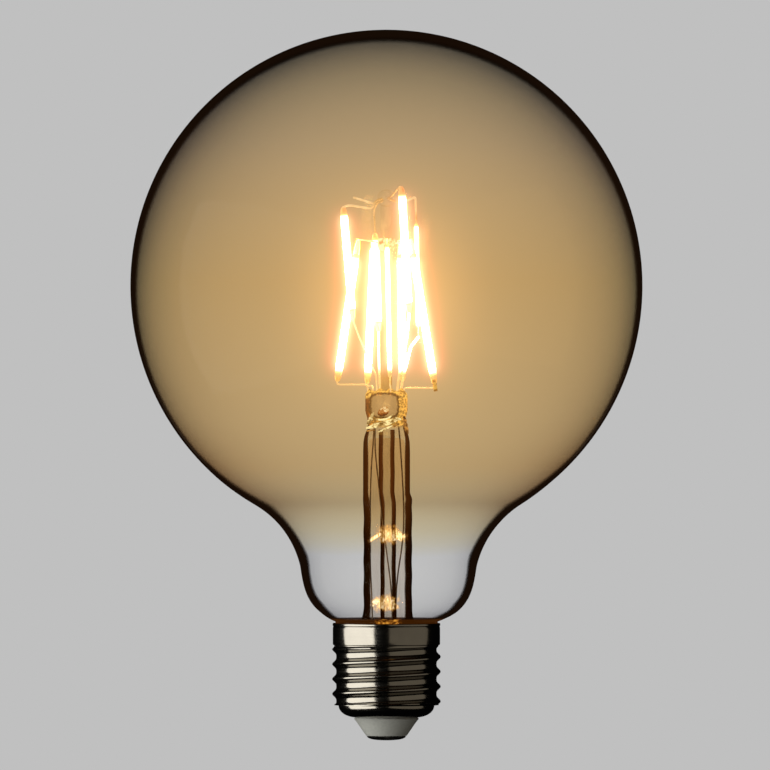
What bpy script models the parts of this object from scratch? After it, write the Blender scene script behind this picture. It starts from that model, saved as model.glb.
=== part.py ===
"""Smart filament light bulb: a 125 mm glass globe on an E27 screw cap.

Units are metres. The origin is the flat underside of the centre contact, and +Z runs up the bulb's axis
to the top of the globe. +X is to the right of someone who looks at the bulb along +Y.
"""

import math

import bmesh
import bpy
from mathutils import Matrix, Vector

GAP = 0.0003  # clearance between pieces that touch on the real bulb
MERGE_DISTANCE = 0.00001

# Glass globe
GLOBE_RADIUS = 0.0625
BULB_HEIGHT = 0.1734
GLOBE_CENTRE_Z = BULB_HEIGHT - GLOBE_RADIUS
GLOBE_WALL = 0.0007
GLOBE_SEGMENTS = 32
UPPER_GLOBE_STEPS = 12
LOWER_GLOBE_STEPS = 8
SHOULDER_STEPS = 5
BULGE_STEPS = 6
NECK_RADIUS = 0.0209  # narrowest place between the globe and the bulge over the cap
SHOULDER_BEND = 0.024  # radius of the hollow curve from the globe to the neck
BULGE_TOP_Z = 0.0425
BULGE_PULLS = ((0.0207, 0.0368), (0.0200, 0.0319))  # (r, z) that the bulge's curve bends towards
SEAL_RADIUS = 0.0125
SEAL_TOP_Z = 0.02895
SEAL_BOTTOM_Z = 0.0250

# Screw cap, E27
SHELL_WALL = 0.00035
SKIRT_RADIUS = 0.0131
RIM_Z = 0.0286
THREAD_TOP_Z = 0.0232
THREAD_BOTTOM_Z = 0.0086
THREAD_PITCH = 0.00363
THREAD_CREST_RADIUS = 0.01325
THREAD_ROOT_RADIUS = 0.01225
THREAD_START_Z = 0.0095  # height of a crest where it crosses +X
THREAD_RUN_OUT_TOP = 0.0009
THREAD_RUN_OUT_BOTTOM = 0.0005
SKIRT_BOTTOM_Z = THREAD_TOP_Z + 0.0006
BOWL_TOP_Z = 0.0085
BOWL_LEDGE_RADIUS = 0.0117  # the shell steps in to this under its thread
BOWL_PULLS = ((0.0116, 0.0070), (0.0103, 0.0059))
BOWL_BOTTOM_Z = 0.0056
BOWL_RADIUS = 0.0079
BOWL_STEPS = 5
SHELL_SEGMENTS = 32
ROWS_PER_PITCH = 5

# Insulator and centre contact
INSULATOR_WIDE = 0.0079
INSULATOR_NARROW = 0.0051
INSULATOR_PULLS = ((0.0077, 0.0050), (0.0062, 0.0030))
INSULATOR_BOTTOM_Z = 0.0011
INSULATOR_TOP_Z = 0.0070
CONTACT_RADIUS = 0.0048
CONTACT_FLAT_RADIUS = 0.0036
CONTACT_RIVET_RADIUS = 0.0011
CONTACT_RIVET_TOP_Z = 0.0072

# Stem: flared tube, flat press on its top, exhaust tube, glass post with two beads
STEM_RADIUS = 0.0059
STEM_WALL = 0.0009
STEM_SHOULDER_Z = 0.0690
STEM_INSIDE_TOP_Z = 0.0735
FLARE_TOP_Z = 0.0330
FLARE_RADIUS = 0.0114
FLARE_BOTTOM_Z = 0.0253
FLARE_PULL_Z = (0.0280, 0.0272)
FLARE_SPREAD = 0.0018
PRESS_BOTTOM_Z = 0.0745
PRESS_TOP_Z = 0.0847
PRESS_HALF_WIDTH = 0.00515
PRESS_HALF_DEPTH = 0.0027
STEM_SEGMENTS = 24
# Sections of the stem above its tube: shares of the half width and depth, squareness, height
PRESS_SECTIONS = (
    (0.90, 0.80, 3.2, PRESS_TOP_Z),
    (1.00, 1.00, 3.2, PRESS_TOP_Z - 0.0007),
    (1.00, 1.00, 3.0, PRESS_BOTTOM_Z + 0.0020),
    (1.02, 1.25, 2.6, PRESS_BOTTOM_Z),
)
SHOULDER_SECTIONS = ((0.96, 0.78, 2.2, 0.0718), (1.00, 1.00, 2.0, STEM_SHOULDER_Z))
HOLLOW_SECTIONS = (
    (1.00, 1.00, 2.0, STEM_SHOULDER_Z),
    (0.94, 0.72, 2.2, 0.0714),
    (0.86, 0.44, 2.4, 0.0729),
    (0.60, 0.20, 2.2, STEM_INSIDE_TOP_Z),
)
EXHAUST_RADIUS = 0.0019
EXHAUST_BORE = 0.0009
EXHAUST_BOTTOM_Z = 0.0232
EXHAUST_TOP_Z = 0.0720
POST_RADIUS = 0.0014
POST_TOP_Z = 0.1299
TOP_BEAD_RADIUS = 0.0023
TOP_BEAD_Z = 0.1323
TOP_BEAD_HALF_HEIGHT = 0.0021
TOP_BEAD_STEPS = 8
MIDDLE_BEAD_Z = 0.1210
MIDDLE_BEAD_HALF_HEIGHT = 0.0016
MIDDLE_BEAD_RADIUS = 0.00245
MIDDLE_BEAD_STEPS = 10

# Light-emitting filaments: a strip between two flat metal tabs
FILAMENT_WIDTH = 0.0018
FILAMENT_THICKNESS = 0.0010
TAB_WIDTH = 0.0010
TAB_THICKNESS = 0.0003
STRIP_SQUARENESS = 3.0
TAB_SQUARENESS = 4.0
UPPER_TAB_LENGTH = 0.0022
LOWER_TAB_LENGTH = 0.0035
FILAMENT_END = 0.0001  # half the height of the step from the strip to its tab
FILAMENT_SEGMENTS = 12
WIRE_RADIUS = 0.0002
LEAD_RADIUS = 0.00025
FACES_FRONT = 0.0
FACES_SIDE = math.radians(90)

# Each tier: the lit strip's top, its bottom, and the turn of its wide face about +Z
UPPER_TIER = (
    ((-0.01035, -0.0015, 0.1279), (-0.0084, -0.0012, 0.1048), FACES_FRONT),
    ((0.0038, -0.0090, 0.1327), (0.0054, -0.0066, 0.1062), FACES_FRONT),
    ((0.0073, 0.0070, 0.1250), (0.0078, 0.0050, 0.1006), FACES_SIDE),
    ((-0.0027, 0.0042, 0.1215), (-0.0020, 0.0036, 0.1018), FACES_FRONT),
)
LOWER_TIER = (
    ((-0.0074, 0.0010, 0.1187), (-0.0115, 0.0016, 0.0911), FACES_FRONT),
    ((-0.0032, 0.0070, 0.1187), (-0.0045, 0.0111, 0.0905), FACES_FRONT),
    ((0.0002, -0.0076, 0.1187), (0.0008, -0.0119, 0.0906), FACES_SIDE),
    ((0.0035, 0.0067, 0.1187), (0.0039, 0.0113, 0.0911), FACES_FRONT),
    ((0.0065, -0.0040, 0.1187), (0.0112, -0.0046, 0.0902), FACES_FRONT),
)

# Wires, from their glass end towards the filament that they hold
UPPER_SUPPORT_ROUTES = (
    ((-0.0028, -0.0003, 0.1316), (-0.0035, -0.0005, 0.1297), (-0.0092, -0.0014, 0.1306)),
    ((0.0012, -0.0026, 0.1326), (0.0032, -0.0062, 0.1350)),
    ((0.0024, 0.0016, 0.1316), (0.0064, 0.0060, 0.1326), (0.0072, 0.0071, 0.1318)),
    ((-0.0022, 0.0019, 0.1312), (-0.0031, 0.0034, 0.1294), (-0.0030, 0.0042, 0.1280)),
)
FREE_ARM_ROUTE = ((-0.0029, 0.0009, 0.1309), (-0.0079, 0.0032, 0.1325))
UPPER_RETURN_ROUTES = (
    ((-0.0023, -0.0010, 0.0850), (-0.0025, -0.0010, 0.0890), (-0.0067, -0.0011, 0.0985)),
    ((0.0026, -0.0014, 0.0850), (0.0030, -0.0024, 0.0885), (0.0050, -0.0056, 0.0985)),
    ((0.0034, -0.0002, 0.0850), (0.0042, 0.0010, 0.0890), (0.0060, 0.0040, 0.0962)),
    ((-0.0015, 0.0017, 0.0850), (-0.0017, 0.0020, 0.0885), (-0.0019, 0.0031, 0.0945)),
)
MIDDLE_SUPPORT_ROUTES = (
    ((-0.0029, 0.0003, 0.1216), (-0.0058, 0.0007, 0.1222)),
    ((-0.0004, 0.0029, 0.1212), (-0.0010, 0.0056, 0.1218)),
    ((0.0001, -0.0029, 0.1212), (0.0001, -0.0058, 0.1220)),
    ((0.0018, 0.0024, 0.1212), (0.0030, 0.0054, 0.1220)),
    ((0.0025, -0.0015, 0.1214), (0.0050, -0.0032, 0.1220)),
)
LOWER_SUPPORT_ROUTES = (
    ((-0.0044, -0.0004, 0.0850), (-0.0046, -0.0001, 0.0861), (-0.0056, 0.0010, 0.0868)),
    ((-0.0033, 0.0018, 0.0850), (-0.0033, 0.0019, 0.0860), (-0.0035, 0.0032, 0.0865)),
    ((0.0010, -0.0021, 0.0850), (0.0010, -0.0022, 0.0860), (0.0010, -0.0034, 0.0865)),
    ((0.0038, 0.0014, 0.0850), (0.0038, 0.0016, 0.0860), (0.0038, 0.0030, 0.0866)),
    ((0.0043, -0.0005, 0.0850), (0.0044, -0.0006, 0.0856), (0.0054, -0.0012, 0.0861)),
)
LEAD_ROUTES = (
    (
        (-0.0033, -0.0008, 0.0720),
        (-0.0039, -0.0008, 0.0642),
        (-0.0041, -0.0008, 0.0450),
        (-0.0035, -0.0010, 0.0340),
        (-0.0034, -0.0014, 0.0260),
        (-0.0040, -0.0014, 0.0210),
    ),
    (
        (-0.0028, -0.0014, 0.0716),
        (-0.0026, -0.0022, 0.0690),
        (-0.0018, -0.0029, 0.0610),
        (-0.0002, -0.0032, 0.0476),
        (0.0013, -0.0030, 0.0366),
        (0.0015, -0.0027, 0.0260),
        (0.0015, -0.0014, 0.0210),
    ),
    (
        (0.0034, 0.0008, 0.0720),
        (0.0043, 0.0006, 0.0574),
        (0.0041, 0.0004, 0.0488),
        (0.0023, 0.0016, 0.0379),
        (0.0023, 0.0018, 0.0260),
        (0.0050, -0.0004, 0.0234),
        (0.0060, -0.0014, 0.0210),
    ),
)

# Driver electronics, on an upright board inside the cap
BOARD_SIZE = (0.0160, 0.0010, 0.0134)
BOARD_CENTRE = (0.0, 0.0, 0.0150)
BOARD_FACE_Y = BOARD_SIZE[1] / 2 + GAP
SLEEVE_RADIUS = 0.0113
SLEEVE_WALL = 0.0005
SLEEVE_BOTTOM_Z = 0.0102
SLEEVE_TOP_Z = 0.0220
CEMENT_BOTTOM_Z = 0.0231
CEMENT_TOP_Z = 0.0241
CEMENT_RADIUS = 0.0120
CEMENT_WIDTH = 0.0012

# name: size along X, Y and Z, then the centre's X and Z, and the board side (-1 front, 1 back)
BOARD_BLOCKS = {
    "driver_chip": ((0.0050, 0.0015, 0.0040), (0.0040, 0.0180), -1, "moulded_black"),
    "bridge_rectifier": ((0.0047, 0.0016, 0.0039), (-0.0050, 0.0110), 1, "moulded_black"),
    "fuse_resistor": ((0.0032, 0.0012, 0.0016), (0.0000, 0.0096), 1, "resistor_body"),
    "radio_module_board": ((0.0110, 0.0008, 0.0080), (0.0010, 0.0172), 1, "circuit_board"),
}
BLOCK_BEVEL = 0.0001
RADIO_CHIP_SIZE = (0.0040, 0.0008, 0.0040)
RADIO_SHIELD_SIZE = (0.0042, 0.0012, 0.0050)
RADIO_CHIP_PLACE = (0.0026, 0.0162)  # X from the radio board's left edge, and Z
RADIO_SHIELD_PLACE = (0.0078, 0.0158)
ANTENNA_WIRE_RADIUS = 0.00015
ANTENNA_START_X = 0.0006  # from the radio board's left edge
ANTENNA_FOLDS = 6
ANTENNA_FOLD_PITCH = 0.0018
ANTENNA_LOW_Z = 0.0191
ANTENNA_HIGH_Z = 0.0208
CAPACITOR_RADIUS = 0.0031
CAPACITOR_LENGTH = 0.0080
CAPACITOR_PLACE = (-0.0038, 0.0135)  # X and Z of its centre
INDUCTOR_RADIUS = 0.0024
INDUCTOR_LENGTH = 0.0036
INDUCTOR_PLACE = (0.0040, 0.0118)
SHELL_WIRE_ROUTE = ((0.0074, -0.0011, 0.0200), (0.0084, -0.0012, 0.0222), (0.0116, -0.0012, 0.0225))
CONTACT_WIRE_ROUTE = ((0.0, 0.0, 0.0078), (0.0014, -0.0011, 0.0079), (0.0016, -0.0011, 0.0095))

# Linear colour, roughness, metallic
MATERIALS = {
    "amber_glass": ((0.85, 0.55, 0.22), 0.03, 0.0),
    "clear_glass": ((0.90, 0.92, 0.90), 0.03, 0.0),
    "phosphor": ((1.00, 0.72, 0.25), 0.60, 0.0),
    "nickel_wire": ((0.45, 0.40, 0.34), 0.30, 1.0),
    "black_nickel": ((0.16, 0.14, 0.12), 0.18, 1.0),
    "insulator_ceramic": ((0.55, 0.56, 0.58), 0.45, 0.0),
    "contact_metal": ((0.12, 0.11, 0.10), 0.30, 1.0),
    "cement": ((0.40, 0.30, 0.18), 0.90, 0.0),
    "circuit_board": ((0.02, 0.16, 0.06), 0.45, 0.0),
    "moulded_black": ((0.02, 0.02, 0.02), 0.55, 0.0),
    "resistor_body": ((0.10, 0.16, 0.30), 0.50, 0.0),
    "capacitor_sleeve": ((0.03, 0.03, 0.05), 0.35, 0.0),
    "copper": ((0.70, 0.30, 0.14), 0.35, 1.0),
    "tinned_steel": ((0.60, 0.60, 0.60), 0.30, 1.0),
    "sleeve_plastic": ((0.80, 0.80, 0.76), 0.50, 0.0),
}


def clear_scene():
    for old in list(bpy.data.objects):
        bpy.data.objects.remove(old, do_unlink=True)


def make_collection(name):
    collection = bpy.data.collections.new(name)
    bpy.context.scene.collection.children.link(collection)
    return collection


def make_material(name):
    colour, roughness, metallic = MATERIALS[name]
    material = bpy.data.materials.new(name)
    material.use_nodes = True
    shader = material.node_tree.nodes["Principled BSDF"]
    shader.inputs["Base Color"].default_value = (*colour, 1.0)
    shader.inputs["Roughness"].default_value = roughness
    shader.inputs["Metallic"].default_value = metallic
    return material


def add_object(name, data, material):
    """Link a new object for a mesh or curve, with one material."""
    data.materials.append(SLOTS[material])
    item = bpy.data.objects.new(name, data)
    PARTS.objects.link(item)
    return item


def add_mesh(name, bm, material, smooth=True):
    mesh = bpy.data.meshes.new(name)
    bm.to_mesh(mesh)
    bm.free()
    if smooth:
        mesh.shade_smooth()
        mesh.set_sharp_from_angle(angle=math.radians(35))
    return add_object(name, mesh, material)


def arc(centre, radius, start, end, steps):
    """Points (r, z) of an arc, with its angles measured from the +r direction."""
    points = []
    for step in range(steps + 1):
        angle = start + (end - start) * step / steps
        points.append((centre[0] + radius * math.cos(angle), centre[1] + radius * math.sin(angle)))
    return points


def bezier(start, pull_start, pull_end, end, steps):
    """Points (r, z) of a cubic curve."""
    points = []
    for step in range(steps + 1):
        t = step / steps
        s = 1 - t
        weights = (s**3, 3 * s * s * t, 3 * s * t * t, t**3)
        ends = (start, pull_start, pull_end, end)
        points.append(tuple(sum(w * p[axis] for w, p in zip(weights, ends)) for axis in (0, 1)))
    return points


def turned(name, profile, material, segments, closed=False):
    """Turn a profile of (r, z) points, which runs down its outer side, about the Z axis."""
    bm = bmesh.new()
    verts = [bm.verts.new((max(r, 0.0), 0.0, z)) for r, z in profile]
    for first, second in zip(verts, verts[1:]):
        bm.edges.new((first, second))
    if closed:
        bm.edges.new((verts[-1], verts[0]))
    item = add_mesh(name, bm, material, smooth=False)
    screw = item.modifiers.new("Turn", "SCREW")
    screw.axis = "Z"
    screw.steps = segments
    screw.render_steps = segments
    screw.use_merge_vertices = True
    screw.merge_threshold = MERGE_DISTANCE
    screw.use_smooth_shade = True
    return item


def wire(name, points, radius, material):
    """A round wire along straight runs, with flat ends."""
    curve = bpy.data.curves.new(name, "CURVE")
    curve.dimensions = "3D"
    curve.bevel_depth = radius
    curve.bevel_resolution = 2
    curve.use_fill_caps = True
    spline = curve.splines.new("POLY")
    spline.points.add(len(points) - 1)
    for slot, point in zip(spline.points, points):
        slot.co = (*point, 1.0)
    return add_object(name, curve, material)


def block(name, size, centre, material, bevel=0.0):
    """A box with its edges rounded by a Bevel modifier."""
    bm = bmesh.new()
    bmesh.ops.create_cube(bm, size=1.0)
    bmesh.ops.scale(bm, vec=Vector(size), verts=bm.verts)
    item = add_mesh(name, bm, material, smooth=False)
    item.location = centre
    if bevel:
        modifier = item.modifiers.new("Rounded edges", "BEVEL")
        modifier.width = bevel
        modifier.segments = 2
    return item


def cylinder(name, radius, length, centre, material, segments=20):
    """An upright solid cylinder with a small bevel at its ends."""
    bm = bmesh.new()
    bmesh.ops.create_cone(bm, cap_ends=True, segments=segments, radius1=radius, radius2=radius, depth=length)
    item = add_mesh(name, bm, material)
    item.location = centre
    modifier = item.modifiers.new("Rounded ends", "BEVEL")
    modifier.width = radius * 0.12
    modifier.segments = 2
    modifier.limit_method = "ANGLE"
    return item


def ring_profile(inner, outer, bottom, top):
    """A closed rectangular section for a plain ring."""
    return [(outer, top), (outer, bottom), (inner, bottom), (inner, top)]


# Glass


def globe_side(offset):
    """One side of the globe's wall, from the pole down to the seal, moved inwards by offset."""
    radius = GLOBE_RADIUS - offset
    bend = SHOULDER_BEND + offset
    neck = NECK_RADIUS - offset
    bend_centre_r = neck + bend
    reach = radius + bend
    drop = math.sqrt(reach**2 - bend_centre_r**2)
    bend_centre = (bend_centre_r, GLOBE_CENTRE_Z - drop)
    touch = math.atan2(-drop, bend_centre_r)
    centre = (0.0, GLOBE_CENTRE_Z)
    upper_half = arc(centre, radius, math.pi / 2, 0.0, UPPER_GLOBE_STEPS)
    lower_half = arc(centre, radius, 0.0, touch, LOWER_GLOBE_STEPS)
    bend_end = math.pi + math.asin((bend_centre[1] - BULGE_TOP_Z) / bend)
    shoulder = arc(bend_centre, bend, touch + math.pi, bend_end, SHOULDER_STEPS)
    upper_pull, lower_pull = BULGE_PULLS
    bulge = bezier(
        shoulder[-1],
        (upper_pull[0] - offset, upper_pull[1]),
        (lower_pull[0] - offset, lower_pull[1] + offset / 2),
        (SEAL_RADIUS - offset, SEAL_TOP_Z + offset / 3),
        BULGE_STEPS,
    )
    end = (SEAL_RADIUS - offset, SEAL_BOTTOM_Z)
    return upper_half + lower_half[1:] + shoulder[1:] + bulge[1:] + [end]


def make_globe():
    outside = globe_side(0.0)
    inside = globe_side(GLOBE_WALL)
    outside[0] = (0.0, BULB_HEIGHT)
    inside[0] = (0.0, BULB_HEIGHT - GLOBE_WALL)
    turned("glass_globe", outside + inside[::-1], "amber_glass", GLOBE_SEGMENTS)


def flare_side(offset):
    """One side of the stem's flare, from the tube down to its rim, moved inwards by offset."""
    radius = STEM_RADIUS - offset
    return bezier(
        (radius, FLARE_TOP_Z),
        (radius, FLARE_PULL_Z[0] - offset),
        (radius + FLARE_SPREAD, FLARE_PULL_Z[1] - offset),
        (FLARE_RADIUS, FLARE_BOTTOM_Z - offset),
        5,
    )


def section(half_width, half_depth, squareness, z, segments=STEM_SEGMENTS):
    """A closed ring: a circle at squareness 2, and nearer a rounded rectangle above that."""
    points = []
    for step in range(segments):
        angle = 2 * math.pi * step / segments
        cos, sin = math.cos(angle), math.sin(angle)
        x = half_width * math.copysign(abs(cos) ** (2 / squareness), cos)
        y = half_depth * math.copysign(abs(sin) ** (2 / squareness), sin)
        points.append((x, y, z))
    return points


def loft(name, sections, material):
    """A closed skin over rings that run down the outside, and back up the inside of a hollow piece."""
    bm = bmesh.new()
    rings = [[bm.verts.new(point) for point in ring] for ring in sections]
    segments = len(rings[0])
    for upper, lower in zip(rings, rings[1:]):
        for step in range(segments):
            following = (step + 1) % segments
            bm.faces.new((upper[step], lower[step], lower[following], upper[following]))
    bm.faces.new(rings[0])
    bm.faces.new(rings[-1][::-1])
    return add_mesh(name, bm, material)


def make_stem():
    """A loft from the flat press on top, down the tube and the flare, and back up the inside."""
    inside = STEM_RADIUS - STEM_WALL
    rings = sized(PRESS_SECTIONS, PRESS_HALF_WIDTH, PRESS_HALF_DEPTH)
    rings += sized(SHOULDER_SECTIONS, STEM_RADIUS, STEM_RADIUS)
    rings += [(r, r, 2.0, z) for r, z in flare_side(0.0)]
    rings += [(r, r, 2.0, z) for r, z in flare_side(STEM_WALL)[::-1]]
    rings += sized(HOLLOW_SECTIONS, inside, inside)
    loft("stem_tube", [section(*ring) for ring in rings], "clear_glass")


def sized(sections, half_width, half_depth):
    """Sections given as shares, at their real size."""
    return [(half_width * wide, half_depth * deep, square, z) for wide, deep, square, z in sections]


def make_exhaust_tube():
    """A thick tube that was pulled off and sealed at its lower end."""
    wall = EXHAUST_RADIUS - EXHAUST_BORE
    tip = arc((0.0, EXHAUST_BOTTOM_Z + EXHAUST_RADIUS), EXHAUST_RADIUS, 0.0, -math.pi / 2, 5)
    bore_end = EXHAUST_BOTTOM_Z + EXHAUST_RADIUS + wall
    profile = [(EXHAUST_RADIUS, EXHAUST_TOP_Z)]
    profile += tip[:-1]
    profile += [(0.0, EXHAUST_BOTTOM_Z), (0.0, bore_end), (EXHAUST_BORE, bore_end + wall)]
    profile += [(EXHAUST_BORE, EXHAUST_TOP_Z)]
    turned("exhaust_tube", profile, "clear_glass", 16, closed=True)


def make_post_and_beads():
    post_bottom = PRESS_TOP_Z + GAP
    post = [(0.0, POST_TOP_Z), (POST_RADIUS, POST_TOP_Z), (POST_RADIUS, post_bottom), (0.0, post_bottom)]
    turned("centre_post", post, "clear_glass", 16)
    bead = []
    for step in range(TOP_BEAD_STEPS + 1):
        angle = math.pi * step / TOP_BEAD_STEPS
        r = TOP_BEAD_RADIUS * math.sin(angle)
        bead.append((r, TOP_BEAD_Z + TOP_BEAD_HALF_HEIGHT * math.cos(angle)))
    bead[-1] = (0.0, TOP_BEAD_Z - TOP_BEAD_HALF_HEIGHT)
    turned("top_bead", bead, "clear_glass", 16)
    inner = POST_RADIUS + GAP
    half = (MIDDLE_BEAD_RADIUS - inner) / 2
    ring = []
    for step in range(MIDDLE_BEAD_STEPS):
        angle = math.pi / 2 - 2 * math.pi * step / MIDDLE_BEAD_STEPS
        r = inner + half + half * math.cos(angle)
        ring.append((r, MIDDLE_BEAD_Z + MIDDLE_BEAD_HALF_HEIGHT * math.sin(angle)))
    turned("middle_bead", ring, "clear_glass", 16, closed=True)


# Filaments and wires


def strip_matrix(strip):
    """A strip's place: its wide direction along X, its thin one along Y, and its length along Z."""
    top, bottom = Vector(strip[0]), Vector(strip[1])
    along = (top - bottom).normalized()
    wide = Vector((math.cos(strip[2]), math.sin(strip[2]), 0.0))
    wide = (wide - along * wide.dot(along)).normalized()
    turn = Matrix((wide, along.cross(wide), along)).transposed().to_4x4()
    return Matrix.Translation((top + bottom) / 2) @ turn


def make_filament(name, strip, tab_length):
    """The lit strip with a flat metal tab at each end, tilted between its two ends."""
    half = (Vector(strip[0]) - Vector(strip[1])).length / 2
    tab = (TAB_WIDTH / 2, TAB_THICKNESS / 2, TAB_SQUARENESS)
    body = (FILAMENT_WIDTH / 2, FILAMENT_THICKNESS / 2, STRIP_SQUARENESS)
    rings = [
        (*tab, half + tab_length),
        (*tab, half + FILAMENT_END),
        (*body, half - FILAMENT_END),
        (*body, FILAMENT_END - half),
        (*tab, -half - FILAMENT_END),
        (*tab, -half - tab_length),
    ]
    item = loft(name, [section(*ring, FILAMENT_SEGMENTS) for ring in rings], "phosphor")
    item.matrix_world = strip_matrix(strip)


def wire_end(strip, end, length):
    """Where a wire stops, just past a tab's outer end."""
    top, bottom = Vector(strip[0]), Vector(strip[1])
    along = (top - bottom).normalized()
    step = length + GAP
    return top + along * step if end == 0 else bottom - along * step


def make_tier(label, tier, tab_length, top_routes, top_label, bottom_routes, bottom_label):
    """A tier's filaments, and the wires at both ends of each filament."""
    for number, strip in enumerate(tier, start=1):
        make_filament(f"filament_{label}_{number}", strip, tab_length)
        top = [*top_routes[number - 1], tuple(wire_end(strip, 0, tab_length))]
        bottom = [*bottom_routes[number - 1], tuple(wire_end(strip, 1, tab_length))]
        wire(f"{top_label}_{number}", top, WIRE_RADIUS, "nickel_wire")
        wire(f"{bottom_label}_{number}", bottom, WIRE_RADIUS, "nickel_wire")


def make_light_source():
    make_tier(
        "upper",
        UPPER_TIER,
        UPPER_TAB_LENGTH,
        UPPER_SUPPORT_ROUTES,
        "top_support_wire",
        UPPER_RETURN_ROUTES,
        "return_wire",
    )
    make_tier(
        "lower",
        LOWER_TIER,
        LOWER_TAB_LENGTH,
        MIDDLE_SUPPORT_ROUTES,
        "middle_support_wire",
        LOWER_SUPPORT_ROUTES,
        "press_wire",
    )
    wire("top_support_wire_5", FREE_ARM_ROUTE, WIRE_RADIUS, "nickel_wire")
    for number, route in enumerate(LEAD_ROUTES, start=1):
        wire(f"lead_wire_{number}", route, LEAD_RADIUS, "nickel_wire")


# Cap


def shell_profile(offset):
    """One side of the cap's sheet metal, top to bottom, with enough rows for the thread."""
    middle = (THREAD_CREST_RADIUS + THREAD_ROOT_RADIUS) / 2 - offset
    rows = round((THREAD_TOP_Z - THREAD_BOTTOM_Z) / THREAD_PITCH * ROWS_PER_PITCH)
    side = [(SKIRT_RADIUS - offset, RIM_Z), (SKIRT_RADIUS - offset, SKIRT_BOTTOM_Z)]
    for row in range(rows + 1):
        side.append((middle, THREAD_TOP_Z + (THREAD_BOTTOM_Z - THREAD_TOP_Z) * row / rows))
    pulls = [(r - offset, z) for r, z in BOWL_PULLS]
    bowl_end = (BOWL_RADIUS - offset / 2, BOWL_BOTTOM_Z + offset)
    return side + bezier((BOWL_LEDGE_RADIUS - offset, BOWL_TOP_Z), *pulls, bowl_end, BOWL_STEPS)


def thread_height(x, y, z):
    """Height of the rolled right-hand thread over its mean radius, running out at both ends."""
    turn = math.atan2(y, x) / (2 * math.pi)
    depth = (THREAD_CREST_RADIUS - THREAD_ROOT_RADIUS) / 2
    from_ends = min((THREAD_TOP_Z - z) / THREAD_RUN_OUT_TOP, (z - THREAD_BOTTOM_Z) / THREAD_RUN_OUT_BOTTOM)
    fade = min(max(from_ends, 0.0), 1.0)
    return fade * depth * math.cos(2 * math.pi * ((z - THREAD_START_Z) / THREAD_PITCH - turn))


def make_screw_shell():
    """The turned shell, made a mesh and then rolled into its thread."""
    profile = shell_profile(0.0) + shell_profile(SHELL_WALL)[::-1]
    blank = turned("shell_blank", profile, "black_nickel", SHELL_SEGMENTS, closed=True)
    depsgraph = bpy.context.evaluated_depsgraph_get()
    mesh = bpy.data.meshes.new_from_object(blank.evaluated_get(depsgraph))
    bpy.data.objects.remove(blank, do_unlink=True)
    for vertex in mesh.vertices:
        x, y, z = vertex.co
        radius = math.hypot(x, y)
        scale = 1 + thread_height(x, y, z) / radius
        vertex.co = (x * scale, y * scale, z)
    mesh.name = "screw_shell"
    item = bpy.data.objects.new("screw_shell", mesh)
    PARTS.objects.link(item)


def make_insulator():
    """A truncated cone with slightly bowed sides, and a hole for the contact's rivet."""
    hole = CONTACT_RIVET_RADIUS + GAP
    spigot = INSULATOR_WIDE - 2 * SHELL_WALL
    side_top = (INSULATOR_WIDE, BOWL_BOTTOM_Z - GAP)
    side = bezier(side_top, *INSULATOR_PULLS, (INSULATOR_NARROW, INSULATOR_BOTTOM_Z), 5)
    profile = [(spigot, INSULATOR_TOP_Z), (spigot, BOWL_BOTTOM_Z - GAP)]
    profile += side
    profile += [(hole, INSULATOR_BOTTOM_Z), (hole, INSULATOR_TOP_Z)]
    turned("insulator", profile, "insulator_ceramic", 32, closed=True)


def make_contact():
    """A flat-bottomed button with a rivet up through the insulator."""
    top = INSULATOR_BOTTOM_Z - GAP
    profile = [
        (0.0, CONTACT_RIVET_TOP_Z),
        (CONTACT_RIVET_RADIUS, CONTACT_RIVET_TOP_Z),
        (CONTACT_RIVET_RADIUS, top),
        (CONTACT_RADIUS, top),
        (CONTACT_RADIUS, top * 0.55),
        ((CONTACT_RADIUS + CONTACT_FLAT_RADIUS) / 2, top * 0.15),
        (CONTACT_FLAT_RADIUS, 0.0),
        (0.0, 0.0),
    ]
    turned("centre_contact", profile, "contact_metal", 32)


def make_cement():
    inner = CEMENT_RADIUS - CEMENT_WIDTH
    ring = ring_profile(inner, CEMENT_RADIUS, CEMENT_BOTTOM_Z, CEMENT_TOP_Z)
    turned("cap_cement", ring, "cement", 24, closed=True)


# Electronics


def make_board_blocks():
    for name, (size, place, side, material) in BOARD_BLOCKS.items():
        y = side * (BOARD_FACE_Y + size[1] / 2)
        block(name, size, (place[0], y, place[1]), material, BLOCK_BEVEL)


def make_radio():
    """The chip, its shield can beside it, and a folded antenna, all on the radio board's outer face."""
    size, place, _, _ = BOARD_BLOCKS["radio_module_board"]
    face = BOARD_FACE_Y + size[1] + GAP
    left = place[0] - size[0] / 2
    chip_y = face + RADIO_CHIP_SIZE[1] / 2
    chip_centre = (left + RADIO_CHIP_PLACE[0], chip_y, RADIO_CHIP_PLACE[1])
    block("radio_chip", RADIO_CHIP_SIZE, chip_centre, "moulded_black", BLOCK_BEVEL)
    shield_y = face + RADIO_SHIELD_SIZE[1] / 2
    shield_centre = (left + RADIO_SHIELD_PLACE[0], shield_y, RADIO_SHIELD_PLACE[1])
    block("radio_shield", RADIO_SHIELD_SIZE, shield_centre, "tinned_steel", 2 * BLOCK_BEVEL)
    y = face + ANTENNA_WIRE_RADIUS
    route = []
    for fold in range(ANTENNA_FOLDS):
        x = left + ANTENNA_START_X + fold * ANTENNA_FOLD_PITCH
        ends = (ANTENNA_LOW_Z, ANTENNA_HIGH_Z) if fold % 2 == 0 else (ANTENNA_HIGH_Z, ANTENNA_LOW_Z)
        route += [(x, y, ends[0]), (x, y, ends[1])]
    wire("radio_antenna", route, ANTENNA_WIRE_RADIUS, "copper")


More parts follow.
